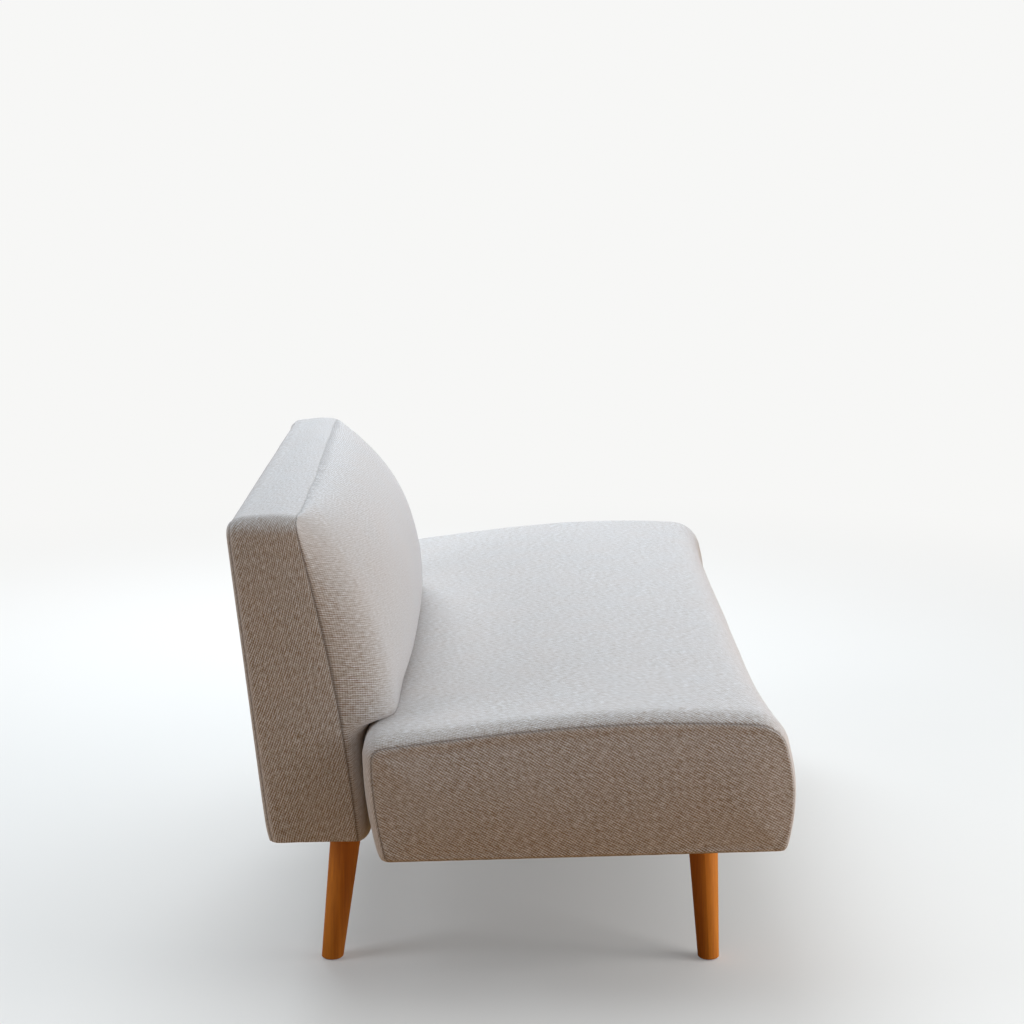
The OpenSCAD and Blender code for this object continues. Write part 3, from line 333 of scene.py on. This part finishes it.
def add_seat_end(b, side, girth):
    """End panel: round its soft edge, then in to a line along the middle of the panel."""
    turn = SEAM_IN / math.sin(PANEL_UP)
    rings, dist = [], list(SEAM_ROWS)
    for row in SEAM_ROWS:
        a = PANEL_UP - row / turn
        rings.append(seat_ring(side * (SEAM_X + turn * (math.cos(a) - math.cos(PANEL_UP))),
                               SEAM_IN + turn * (math.sin(PANEL_UP) - math.sin(a))))
    edge = seat_ring(side * (SEAM_X + turn * (1 - math.cos(PANEL_UP))), 2 * SEAM_IN)
    spine_z = lambda y: UNDER_H + SPINE_H - (y - ORIGIN_Y) * (math.tan(TILT) + SPINE_FALL)
    y = np.clip(edge[:, 1], *to_world(SPINE_ENDS)[0])
    spine = np.stack([edge[:, 0], y, spine_z(y)], 1)
    reach = np.hypot(*(edge - spine)[:, 1:].T).mean()
    for s in np.concatenate([[0], np.linspace(0.06, 1, 16)]):
        ring = edge + (spine - edge) * s
        ring[:, 0] += side * END_CROWN * (1 - (1 - s) ** 2)
        if s == 1:  # upper and lower halves share their points, so the panel closes
            ring[:, 1] = np.round(y / SPINE_STEP) * SPINE_STEP
            ring[:, 2] = spine_z(ring[:, 1])
        rings.append(ring)
        dist.append(turn * PANEL_UP + s * reach)
    rings = np.stack(rings)
    uv = rings[..., 1:] * np.array([side, 1])
    b.grid(rings, uv, np.array(dist)[:, None], girth[None, :], lay=-30, closed=True)


def build_seat():
    b = Builder()
    _, length = resample(seat_loop(), GIRTH)
    girth = np.arange(GIRTH) * length / GIRTH
    add_seat_cover(b, girth, length)
    for side in (-1, 1):
        add_seat_end(b, side, girth)
    obj = b.build("seat_pad")
    soften(obj, 11, 0.8, 0.55, 0.12)
    return obj


# Back pad
FAR_FROM_SEAM = 300.0
EDGE_FROM, LEVEL_H = 290.0, 480.0        # lowest use of the seat's edge, and level of the weave
CREASE_Y = to_world(np.array([SEAT_D - REACH, REAR_T]))[0]
REST_Y, REST_Z = to_world(resample(seat_loop(-SEAT_CLEAR), 1200, 2.0)[0])
ON_EDGE = (REST_Y > CREASE_Y) & (REST_Z > EDGE_FROM)
SEAT_EDGE = np.array(sorted(zip(REST_Z[ON_EDGE], REST_Y[ON_EDGE])))
CREASE_Z = SEAT_EDGE[-1, 0]


def mid_swell(z):
    """Depth of the back's front over its seam, half way along the back."""
    upper = z > BULGE_H
    t = np.abs(z - BULGE_H) / np.where(upper, BACK_TOP - BULGE_H, BULGE_DOWN)
    power = np.where(upper, BULGE_UP_POWER, BULGE_DOWN_POWER)
    return BULGE * np.sqrt(np.clip(1 - t ** power, 0, 1))


def end_swell(z):
    """The same depth next to the ends."""
    t = np.clip(z - END_BULGE_FROM, 0, None) / (BACK_TOP - END_BULGE_FROM)
    return END_BULGE * np.clip(1 - t * t, 0, 1)


def seam_drift(x, z):
    """Forward drift of the top seam, which fades further down."""
    drift = DRIFT + DRIFT_SLOPE * x
    for size, place, width in DRIFT_BUMPS:
        drift = drift + size * np.exp(-((x - place) / width) ** 2)
    drift = drift + DRIFT_WAVE * np.sin(x / WAVE_LEN)
    return drift * np.exp(-np.clip(BACK_TOP - z, 0, None) / DRIFT_H)


def back_front(x, z):
    """Y of the back's front at x and z, before its top corners are rounded."""
    share = 1 - np.abs(x / (BACK_LEN / 2)) ** 3
    mid = mid_swell(z)
    end = np.minimum(mid, end_swell(z))
    depth = end + (mid - end) * share
    # below the crease the front lies on the seat's rear edge
    held = seam_y(z) - np.interp(z, *SEAT_EDGE.T)
    free = np.clip((z - CREASE_Z) / CREASE_BLEND, 0, 1)
    free = free * free * (3 - 2 * free)
    at_crease = seam_y(CREASE_Z) - CREASE_Y
    depth = np.where(z < CREASE_Z, held, np.minimum(depth, at_crease + (depth - at_crease) * free))
    t = np.clip((BACK_LEN / 2 - np.abs(x)) / WRAP, 0, 1)
    out = lambda s: np.clip(1 - (1 - s) ** WRAP_POWER, 0, 1) ** (1 / WRAP_POWER)
    start = out(WRAP_START)
    turned_in = (out(WRAP_START + (1 - WRAP_START) * t) - start) / (1 - start)
    return seam_y(z) - depth * turned_in - seam_drift(x, z)


def corner(x, z, half, top, r):
    """Rounds the two top corners of a flat grid."""
    a = (np.abs(x) - (half - r)) / r
    c = (z - (top - r)) / r
    inside = (a > 0) & (c > 0)
    a, c = np.clip(a, 0, 1), np.clip(c, 0, 1)
    round_x = np.sign(x) * ((half - r) + r * a * np.sqrt(1 - c * c / 2))
    round_z = (top - r) + r * c * np.sqrt(1 - a * a / 2)
    return np.where(inside, round_x, x), np.where(inside, round_z, z)


def travelled(points, axis, keys):
    """Distance along one axis of a grid of points, measured in two of their coordinates."""
    step = np.diff(points[..., keys], axis=axis)
    return np.insert(np.cumsum(np.hypot(step[..., 0], step[..., 1]), axis), 0, 0, axis)


def coons(left, right, near, far, u, v):
    """Patch between four edges. left and right run along v, near and far along u."""
    u, v = u[:, None, None], v[None, :, None]
    patch = left * (1 - u) + right * u + near[:, None] * (1 - v) + far[:, None] * v
    patch -= (1 - u) * ((1 - v) * left[0] + v * left[-1])
    return patch - u * ((1 - v) * right[0] + v * right[-1])


def add_back_front(b, xs, zs):
    """Front panel, wrapped round onto the ends. Returns its points."""
    half = BACK_LEN / 2
    x, z = np.meshgrid(xs, zs, indexing="ij")
    round_x, round_z = corner(x, z, half, BACK_TOP, CORNER_R)
    y = back_front(x, z) + seam_y(round_z) - seam_y(z)
    front = np.stack([round_x, y, round_z], -1)
    foot = np.clip(1 - (front[..., 2] - zs[0]) / FOOT_FLAT, 0, 1)
    front[..., 2] += foot * (REAR_FOOT_Y - front[..., 1]) * math.tan(TILT)
    off = np.maximum(seam_y(z) - y, 0)
    seam = np.minimum(np.hypot(half - np.abs(x), off), np.hypot(BACK_TOP - z, off))
    along = np.where(half - np.abs(x) < BACK_TOP - z, z, x + 2000)
    run, rise = travelled(front, 0, [0, 1]), travelled(front, 1, [2, 1])
    run -= run[len(xs) // 2]
    rise -= rise[:, np.searchsorted(zs, LEVEL_H)][:, None]
    b.grid(front, np.stack([run, rise], -1), seam, along, lay=-6)
    return front


def add_boxing(b, front, low):
    """Strip up one side, over the top and down the other, rolled over the rear edge."""
    edge = np.concatenate([front[0], front[1:, -1], front[-1, ::-1][1:]])
    rim_x = BACK_LEN / 2 - RIM_R
    centre = np.stack([np.clip(edge[:, 0], -rim_x, rim_x),
                       np.minimum(edge[:, 2], BACK_TOP - RIM_R)], 1)
    inward = centre - edge[:, [0, 2]]
    inward /= np.linalg.norm(inward, axis=1)[:, None]
    roll = REAR_ROLL + TOP_ROLL * inward[:, 1] ** 2
    width = rear_y(edge[:, 2]) - roll - edge[:, 1]
    proud = PROUD * np.clip((edge[:, 2] - low) / FOOT_FLAT, 0, 1)
    drop = DROP * np.exp(-(edge[:, 2] - low) / DROP_FADE)
    rows, seam = [], []
    for s in fine_ends(1.0, 0.9 / BOXING_W, 1.25, 8 / BOXING_W):
        out = proud * math.sin(math.pi * s ** 0.85) ** 1.2
        rows.append(np.stack([edge[:, 0] - inward[:, 0] * out, edge[:, 1] + width * s,
                              edge[:, 2] - inward[:, 1] * out - drop * s * s], 1))
        seam.append(np.minimum(width * s, width * (1 - s) + roll * math.pi / 4))
    for a in np.radians([8, 16, 24, 32, 38, 42, 45, 48, 52, 58, 66, 74, 82, 90]):
        inset = roll * (1 - math.cos(a))
        z = edge[:, 2] + inward[:, 1] * inset - drop
        rows.append(np.stack([edge[:, 0] + inward[:, 0] * inset,
                              rear_y(z) - roll + roll * math.sin(a), z], 1))
        seam.append(roll * abs(a - math.pi / 4))
    strip = np.stack(rows)
    path = travelled(edge, 0, [0, 2])
    over = travelled(strip[:, 10], 0, [0, 1])
    uv = np.stack(np.meshgrid(over, path, indexing="ij"), -1)
    b.grid(strip, uv, np.stack(seam), path[None, :] + 4000, lay=117)
    return strip


def build_back():
    b = Builder()
    low = BACK_FOOT + LOW
    xs = fine_ends(BACK_LEN) - BACK_LEN / 2
    zs = low + fine_ends(BACK_TOP - low)
    front = add_back_front(b, xs, zs)
    strip = add_boxing(b, front, low)
    # Rear panel and underside, on the same boundaries
    side, last = len(zs), strip[-1]
    left, top, right = last[:side], last[side - 1:side - 1 + len(xs)], last[:-side - 1:-1]
    u, v = ((c - c[0]) / (c[-1] - c[0]) for c in (xs, zs))
    bottom = left[0] + (right[0] - left[0]) * u[:, None]
    panel = coons(left, right, bottom, top, u, v)
    b.grid(panel, panel[..., [0, 2]] * np.array([-1, 1]), FAR_FROM_SEAM, 0.0, lay=62, flip=True)
    foot = strip[:, 0, 1]
    under = coons(strip[:, 0], strip[:, -1], front[:, 0], panel[:, 0], u,
                  (foot - foot[0]) / (foot[-1] - foot[0]))
    b.grid(under, under[..., :2], FAR_FROM_SEAM, 0.0, flip=True)
    obj = b.build("back_pad", BACK_X)
    soften(obj, 23, 0.7, 0.5, 0.05)
    return obj


# Under cloths
def build_under(name, x_ends, y_ends, level, sag, legs, held):
    """Thin cloth stapled round its edge. It hangs a little between what holds it."""
    (x0, x1), (y0, y1) = x_ends, y_ends
    legs = [(lx, ly, LEG_HOLE) for lx, ly in legs]
    xs, ys = (np.linspace(a, c, int((c - a) / CLOTH_STEP) + 1) for a, c in (x_ends, y_ends))
    x, y = (g.copy() for g in np.meshgrid(xs, ys, indexing="ij"))
    cx, cy = (x[:-1, :-1] + x[1:, 1:]) / 2, (y[:-1, :-1] + y[1:, 1:]) / 2
    keep = np.ones(cx.shape, bool)
    free = np.sin(np.pi * (x - x0) / (x1 - x0)).clip(0) ** 0.5
    free = free * np.sin(np.pi * (y - y0) / (y1 - y0)).clip(0) ** 0.7
    for lx, ly, r in legs:
        keep &= np.hypot(cx - lx, cy - ly) > r
        d = np.maximum(np.hypot(x - lx, y - ly), 1e-6)
        push = np.where(d < r, r / d, 1.0)
        x, y = lx + (x - lx) * push, ly + (y - ly) * push
    for hx, hy, r in held + legs:
        off = np.clip(np.hypot(x - hx, y - hy) - r, 0, None)
        free = free * (1 - np.exp(-off ** 2 / HELD_FADE))
    points = np.stack([x, y, level(y)], -1)
    tucks = waves(points.reshape(-1, 3) * MM * np.array([1, 0.35, 1]), 5, 10, 0.09).reshape(x.shape)
    points[..., 2] -= free * (sag + 0.25 * sag * tucks)
    index = np.arange(x.size).reshape(x.shape)
    quads = np.stack([index[:-1, :-1], index[:-1, 1:], index[1:, 1:], index[1:, :-1]], -1)[keep]
    used, quads = np.unique(quads, return_inverse=True)
    mesh = bpy.data.meshes.new(name)
    mesh.from_pydata((points.reshape(-1, 3)[used] * MM).tolist(), [], quads.reshape(-1, 4).tolist())
    mesh.polygons.foreach_set("use_smooth", [True] * len(mesh.polygons))
    obj = bpy.data.objects.new(name, mesh)
    bpy.context.scene.collection.objects.link(obj)
    return obj


# Materials
def material(name):
    m = bpy.data.materials.new(name)
    m.use_nodes = True
    tree = m.node_tree
    shader = tree.nodes["Principled BSDF"]
    return m, tree, shader


class Nodes:
    """Small helper that adds and links shader nodes."""

    def __init__(self, tree):
        self.tree = tree

    def add(self, kind, inputs=None, **settings):
        node = self.tree.nodes.new(kind)
        for key, value in settings.items():
            setattr(node, key, value)
        for key, value in (inputs or {}).items():
            if isinstance(value, bpy.types.NodeSocket):
                self.tree.links.new(value, node.inputs[key])
            else:
                node.inputs[key].default_value = value
        return node

    def math(self, op, a, b=0.0, c=None):
        inputs = {0: a, 1: b} if c is None else {0: a, 1: b, 2: c}
        return self.add("ShaderNodeMath", inputs, operation=op).outputs[0]

    def noise(self, vector, scale, detail=2.0, rough=0.5):
        node = self.add("ShaderNodeTexNoise", {"Vector": vector, "Scale": scale, "Detail": detail,
                                               "Roughness": rough})
        return node.outputs["Fac"]

    def mix(self, fac, a, b):
        """Colour mix. Inputs 6 and 7 and output 2 are the node's colour sockets."""
        return self.add("ShaderNodeMix", {0: fac, 6: a, 7: b}, data_type="RGBA").outputs[2]

    def link(self, a, b):
        self.tree.links.new(a, b)


def fabric_material(name, pitch):
    """Two-tone twill. The ridges run along U, and pitch is the distance between them."""
    m, tree, shader = material(name)
    n = Nodes(tree)
    coords = n.add("ShaderNodeTexCoord").outputs
    uv = coords["UV"]
    along, across = n.add("ShaderNodeSeparateXYZ", {"Vector": uv}).outputs[:2]
    wobble = n.math("MULTIPLY", n.math("SUBTRACT", n.noise(uv, 40.0, 3.0), 0.5), 0.0030)
    across = n.math("ADD", across, wobble)
    ridge = n.math("SINE", n.math("MULTIPLY", across, 2 * math.pi / pitch))
    cross = n.math("SINE", n.math("MULTIPLY", along, 2 * math.pi / (pitch * 1.15)))
    dashes = n.add("ShaderNodeMapping", {"Vector": uv, "Scale": (110, 430, 1)})
    fleck = n.math("SUBTRACT", n.noise(dashes.outputs[0], 1.0, 3.0, 0.6), 0.5)
    pepper = n.math("SUBTRACT", n.noise(uv, 900.0, 2.0, 0.6), 0.5)
    cloud = n.noise(uv, 9.0, 3.0)
    turned = n.add("ShaderNodeMapping", {"Vector": uv, "Rotation": (0, 0, 1.3)}).outputs[0]
    warm, cool = n.noise(uv, 15.0, 3.0), n.noise(turned, 21.0, 3.0)
    # Painted light and shade by facing: cloth facing the ends is darker and browner and shows the
    # weave most, cloth on top less, and cloth facing front or rear is palest and plainest
    facing = n.add("ShaderNodeSeparateXYZ", {"Vector": coords["Normal"]}).outputs
    above = n.math("MAXIMUM", facing[2], 0.0)
    endwise = n.math("MULTIPLY", facing[0], facing[0])
    facing_shade = n.math("MULTIPLY_ADD", endwise, 0.70, 0.30)
    facing_shade = n.math("MULTIPLY_ADD", n.math("MULTIPLY", above, above), 0.42, facing_shade)
    patchy = n.math("MULTIPLY_ADD", n.noise(uv, 120.0, 2.0), 0.30, 0.08)
    ribs = n.math("MULTIPLY", ridge, patchy)
    weave = n.math("MULTIPLY", n.math("MULTIPLY_ADD", cross, 0.09, n.math("ADD", ribs, -0.09)), facing_shade)
    weave = n.math("MULTIPLY_ADD", fleck, 1.5, weave)
    weave = n.math("MULTIPLY_ADD", pepper, 0.6, weave)
    mixed = n.math("MULTIPLY_ADD", facing_shade, weave, 0.5)
    mixed = n.math("MULTIPLY_ADD", pepper, 0.3, mixed)
    ramp = n.add("ShaderNodeValToRGB", {"Fac": mixed})
    ramp.color_ramp.elements[0].position = 0.14
    ramp.color_ramp.elements[0].color = (0.260, 0.182, 0.115, 1)
    ramp.color_ramp.elements[1].position = 0.86
    ramp.color_ramp.elements[1].color = (0.870, 0.878, 0.900, 1)
    # Painted light: cloth facing front or rear is eased towards a flat pale grey
    plain = n.math("MULTIPLY_ADD", facing_shade, -0.4, 0.4)
    colour = n.mix(plain, ramp.outputs[0], (0.575, 0.565, 0.565, 1))
    colour = n.mix(n.math("MULTIPLY", n.math("SUBTRACT", cloud, 0.42), 0.5), colour,
                   (0.60, 0.58, 0.565, 1))
    colour = n.mix(n.math("MULTIPLY", n.math("SUBTRACT", warm, 0.35), 0.30), colour,
                   (0.60, 0.47, 0.40, 1))
    colour = n.mix(n.math("MULTIPLY", n.math("SUBTRACT", cool, 0.40), 0.26), colour,
                   (0.53, 0.54, 0.56, 1))
    # Painted shade along the seams: the cloth darkens in the seam grooves, less where it faces up
    # into the light
    seam = n.add("ShaderNodeAttribute", attribute_name="seam").outputs["Fac"]
    depth = n.math("MULTIPLY_ADD", above, -0.35, 0.75)
    colour = n.mix(n.math("MULTIPLY", seam, depth), colour, (0.13, 0.105, 0.09, 1))
    n.link(colour, shader.inputs["Base Color"])
    n.link(n.math("MULTIPLY_ADD", fleck, 0.2, 0.86), shader.inputs["Roughness"])
    shader.inputs["Sheen Weight"].default_value = 0.25
    shader.inputs["Sheen Roughness"].default_value = 0.5
    shader.inputs["Sheen Tint"].default_value = (0.88, 0.92, 1.0, 1)
    shader.inputs["Specular IOR Level"].default_value = 0.12
    bump = n.add("ShaderNodeBump", {"Height": mixed, "Strength": 0.30, "Distance": 0.0005})
    n.link(bump.outputs[0], shader.inputs["Normal"])
    return m


def wood_material(name, light, dark, rough, gloss):
    """Straight-grained timber, with the grain along the object's height."""
    m, tree, shader = material(name)
    n = Nodes(tree)
    where = n.add("ShaderNodeTexCoord").outputs["Object"]
    stretch = n.add("ShaderNodeMapping", {"Vector": where, "Scale": (60, 60, 3.2)})
    fine = n.add("ShaderNodeMapping", {"Vector": where, "Scale": (420, 420, 9)})
    broad = n.noise(stretch.outputs[0], 1.0, 4.0, 0.55)
    pores = n.noise(fine.outputs[0], 1.0, 3.0, 0.6)
    cloud = n.noise(where, 7.0, 2.0)
    mixed = n.math("MULTIPLY_ADD", n.math("SUBTRACT", pores, 0.5), 0.55, broad)
    ramp = n.add("ShaderNodeValToRGB", {"Fac": mixed})
    ramp.color_ramp.elements[0].position = 0.30
    ramp.color_ramp.elements[0].color = dark
    ramp.color_ramp.elements[1].position = 0.68
    ramp.color_ramp.elements[1].color = light
    colour = n.mix(n.math("MULTIPLY", cloud, 0.30), ramp.outputs[0], dark)
    n.link(colour, shader.inputs["Base Color"])
    n.link(n.math("MULTIPLY_ADD", pores, 0.18, rough), shader.inputs["Roughness"])
    shader.inputs["Coat Weight"].default_value = gloss
    shader.inputs["Coat Roughness"].default_value = 0.22
    bump = n.add("ShaderNodeBump", {"Height": pores, "Strength": 0.25, "Distance": 0.0003})
    n.link(bump.outputs[0], shader.inputs["Normal"])
    return m


def plain_weave(name, colour, scale, sheen):
    """Small even weave for webbing, under cloths, wadding, foam and felt."""
    m, tree, shader = material(name)
    n = Nodes(tree)
    where = n.add("ShaderNodeTexCoord").outputs["Object"]
    parts = n.add("ShaderNodeSeparateXYZ", {"Vector": where})
    wave = [n.math("SINE", n.math("MULTIPLY", parts.outputs[k], scale)) for k in (0, 1)]
    weave = n.math("MULTIPLY_ADD", n.math("MULTIPLY", wave[0], wave[1]), 0.5, 0.5)
    fuzz = n.noise(where, 700.0, 3.0, 0.6)
    cloud = n.noise(where, 12.0, 2.0)
    mixed = n.math("MULTIPLY_ADD", fuzz, 0.5, n.math("MULTIPLY", weave, 0.5))
    darker = tuple(c * 0.55 for c in colour[:3]) + (1,)
    tone = n.mix(mixed, darker, colour)
    tone = n.mix(n.math("MULTIPLY", cloud, 0.2), tone, darker)
    n.link(tone, shader.inputs["Base Color"])
    n.link(n.math("MULTIPLY_ADD", fuzz, 0.2, 0.75), shader.inputs["Roughness"])
    shader.inputs["Sheen Weight"].default_value = sheen
    bump = n.add("ShaderNodeBump", {"Height": mixed, "Strength": 0.5, "Distance": 0.0005})
    n.link(bump.outputs[0], shader.inputs["Normal"])
    return m


def steel_material(name):
    m, tree, shader = material(name)
    n = Nodes(tree)
    where = n.add("ShaderNodeTexCoord").outputs["Object"]
    streak = n.add("ShaderNodeMapping", {"Vector": where, "Scale": (30, 900, 900)})
    brushed = n.noise(streak.outputs[0], 1.0, 2.0)
    cloud = n.noise(where, 40.0, 2.0)
    tone = n.mix(cloud, (0.52, 0.52, 0.53, 1), (0.66, 0.66, 0.66, 1))
    n.link(tone, shader.inputs["Base Color"])
    shader.inputs["Metallic"].default_value = 1.0
    n.link(n.math("MULTIPLY_ADD", brushed, 0.2, 0.28), shader.inputs["Roughness"])
    return m


upholstery = fabric_material("upholstery", 0.0030)
legs_wood = wood_material("leg_wood", (0.72, 0.245, 0.016, 1), (0.46, 0.125, 0.006, 1), 0.38, 0.18)
timber = wood_material("frame_timber", (0.72, 0.56, 0.36, 1), (0.56, 0.40, 0.23, 1), 0.62, 0.0)
webbing = plain_weave("webbing", (0.05, 0.05, 0.055, 1), 2600.0, 0.1)
cloth = plain_weave("under_cloth", (0.028, 0.028, 0.03, 1), 3600.0, 0.05)
wadding = plain_weave("wadding", (0.86, 0.86, 0.84, 1), 500.0, 0.4)
foam = plain_weave("foam", (0.86, 0.80, 0.62, 1), 900.0, 0.1)
felt = plain_weave("felt", (0.06, 0.052, 0.045, 1), 1500.0, 0.5)
steel = steel_material("steel")
BY_SLOT = {"upholstery": upholstery, "leg_wood": legs_wood, "frame_timber": timber,
           "webbing": webbing, "under_cloth": cloth, "wadding": wadding, "foam": foam,
           "felt": felt, "steel": steel}
for part in frame["record"]["subparts"]:
    mesh = frame["nodes"][part["node"]].data
    mesh.materials.clear()
    mesh.materials.append(BY_SLOT[part["material_slot"]])

# Pieces
seat = build_seat()
seat.data.materials.append(upholstery)
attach(seat, "root")
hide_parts("seat_foam", "seat_wadding", "seat_cover_main", "seat_cover_end_left",
            "seat_cover_end_right")

back = build_back()
back.data.materials.append(upholstery)
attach(back, "root")
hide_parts("back_front_foam", "back_edge_padding", "back_rear_padding",
            "back_cover_front", "back_cover_boxing", "back_cover_rear")

seat_cloth = build_under(
    "seat_under_cloth", SEAT_CLOTH_X, SEAT_CLOTH_Y,
    lambda y: UNDER_H + CLOTH_UP - (y - ORIGIN_Y) * math.tan(TILT), 3.0,
    SEAT_LEGS, [(x, SEAT_HOLD_Y, SEAT_HOLD_R) for x in BRACKETS])
seat_cloth.data.materials.append(cloth)
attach(seat_cloth, "root")
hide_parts("seat_dust_cover")

back_cloth = build_under(
    "back_under_cloth", BACK_CLOTH_X, BACK_CLOTH_Y,
    lambda y: BACK_FOOT + CLOTH_UP - (y - REAR_FOOT_Y) * math.tan(TILT), 0.8,
    BACK_LEGS, [(x, BACK_HOLD_Y, BACK_HOLD_R) for x in BRACKETS])
back_cloth.data.materials.append(cloth)
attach(back_cloth, "root")
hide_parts("back_bottom_cloth")

# Stage, light and camera
bpy.ops.mesh.primitive_plane_add(size=160, location=(0, 0, 0))
floor = bpy.context.object
floor.name = "floor"
floor_mat, floor_tree, floor_shader = material("floor")
fn = Nodes(floor_tree)
floor_where = fn.add("ShaderNodeTexCoord").outputs["Object"]
seen = fn.add("ShaderNodeLightPath").outputs["Is Camera Ray"]
floor_tone = fn.mix(fn.noise(floor_where, 1.2, 3.0), (0.735, 0.71, 0.68, 1), (0.765, 0.74, 0.71, 1))
floor_tone = fn.mix(seen, (0.47, 0.25, 0.09, 1), floor_tone)
fn.link(floor_tone, floor_shader.inputs["Base Color"])
# Far out the floor fades into the backdrop, for the camera alone. Near the sofa a fifth of the glow
# is still mixed in, a painted light that lifts the sofa's shadow on the floor
radius = fn.add("ShaderNodeVectorMath", {0: floor_where}, operation="LENGTH").outputs["Value"]
fade = fn.add("ShaderNodeMapRange", {"Value": radius, "From Min": 0.5, "From Max": 3.2,
                                     "To Min": 0.2}, interpolation_type="SMOOTHSTEP")
glow = fn.add("ShaderNodeEmission", {"Color": (0.93, 0.93, 0.92, 1), "Strength": 1.0})
blend = fn.add("ShaderNodeMixShader", {0: fn.math("MULTIPLY", fade.outputs["Result"], seen)})
fn.link(floor_shader.outputs[0], blend.inputs[1])
fn.link(glow.outputs[0], blend.inputs[2])
fn.link(blend.outputs[0], floor_tree.nodes["Material Output"].inputs["Surface"])
floor_shader.inputs["Roughness"].default_value = 0.9
floor_shader.inputs["Specular IOR Level"].default_value = 0.1
floor.data.materials.append(floor_mat)

# The world is a pale backdrop to the camera and a dim, even light on the sofa
world = bpy.data.worlds.new("studio")
world.use_nodes = True
wn = Nodes(world.node_tree)
paths = wn.add("ShaderNodeLightPath")
seen = wn.math("MAXIMUM", paths.outputs["Is Camera Ray"], paths.outputs["Is Glossy Ray"])
background = world.node_tree.nodes["Background"]
wn.link(wn.mix(seen, (0.92, 0.96, 1.0, 1), (0.93, 0.93, 0.92, 1)), background.inputs["Color"])
wn.link(wn.math("MULTIPLY_ADD", seen, 0.94, 0.06), background.inputs["Strength"])
bpy.context.scene.world = world


def lamp(name, kind, power, colour, toward, place=(0, 0, 0)):
    data = bpy.data.lights.new(name, kind)
    data.energy = power
    data.color = colour
    obj = bpy.data.objects.new(name, data)
    obj.location = place
    obj.rotation_euler = Vector(toward).to_track_quat("-Z", "Y").to_euler()
    bpy.context.scene.collection.objects.link(obj)
    return data


key = lamp("key", "SUN", 1.34, (0.90, 0.96, 1.0), (-0.25, 0.12, -0.95))
key.angle = math.radians(75)
for name, power, size, colour, place, target in (
        ("window", 76, 1.5, (0.82, 0.915, 1.0), (2.2, 0.5, 2.1), (0.1, 0.1, 0.5)),
        ("front", 30, 1.6, (0.97, 0.985, 1.0), (-1.3, -2.5, 1.5), (-0.3, 0.1, 0.4)),
        ("low", 24, 1.0, (0.98, 0.985, 1.0), (-0.55, -2.7, 0.75), (-0.3, 0.1, 0.45)),
        ("rim", 26, 1.2, (0.82, 0.91, 1.0), (-1.2, 2.5, 1.9), (-0.5, 0.3, 0.5))):
    area = lamp(name, "AREA", power, colour, Vector(target) - Vector(place), place)
    area.size = size

# The camera stands off the sitter's right end, as in the photograph, and looks a little down
PITCH = 10.74                            # degrees below the horizontal
cam_data = bpy.data.cameras.new("camera")
cam_data.lens = 79.1
cam_data.sensor_width = 36
cam_data.shift_x = 0.00098
camera = bpy.data.objects.new("camera", cam_data)
camera.location = (-3.480, -0.0017, 1.214)
camera.rotation_euler = (math.radians(90 - PITCH), 0, math.radians(-90))
bpy.context.scene.collection.objects.link(camera)
bpy.context.scene.camera = camera
bpy.context.scene.view_settings.view_transform = "Standard"
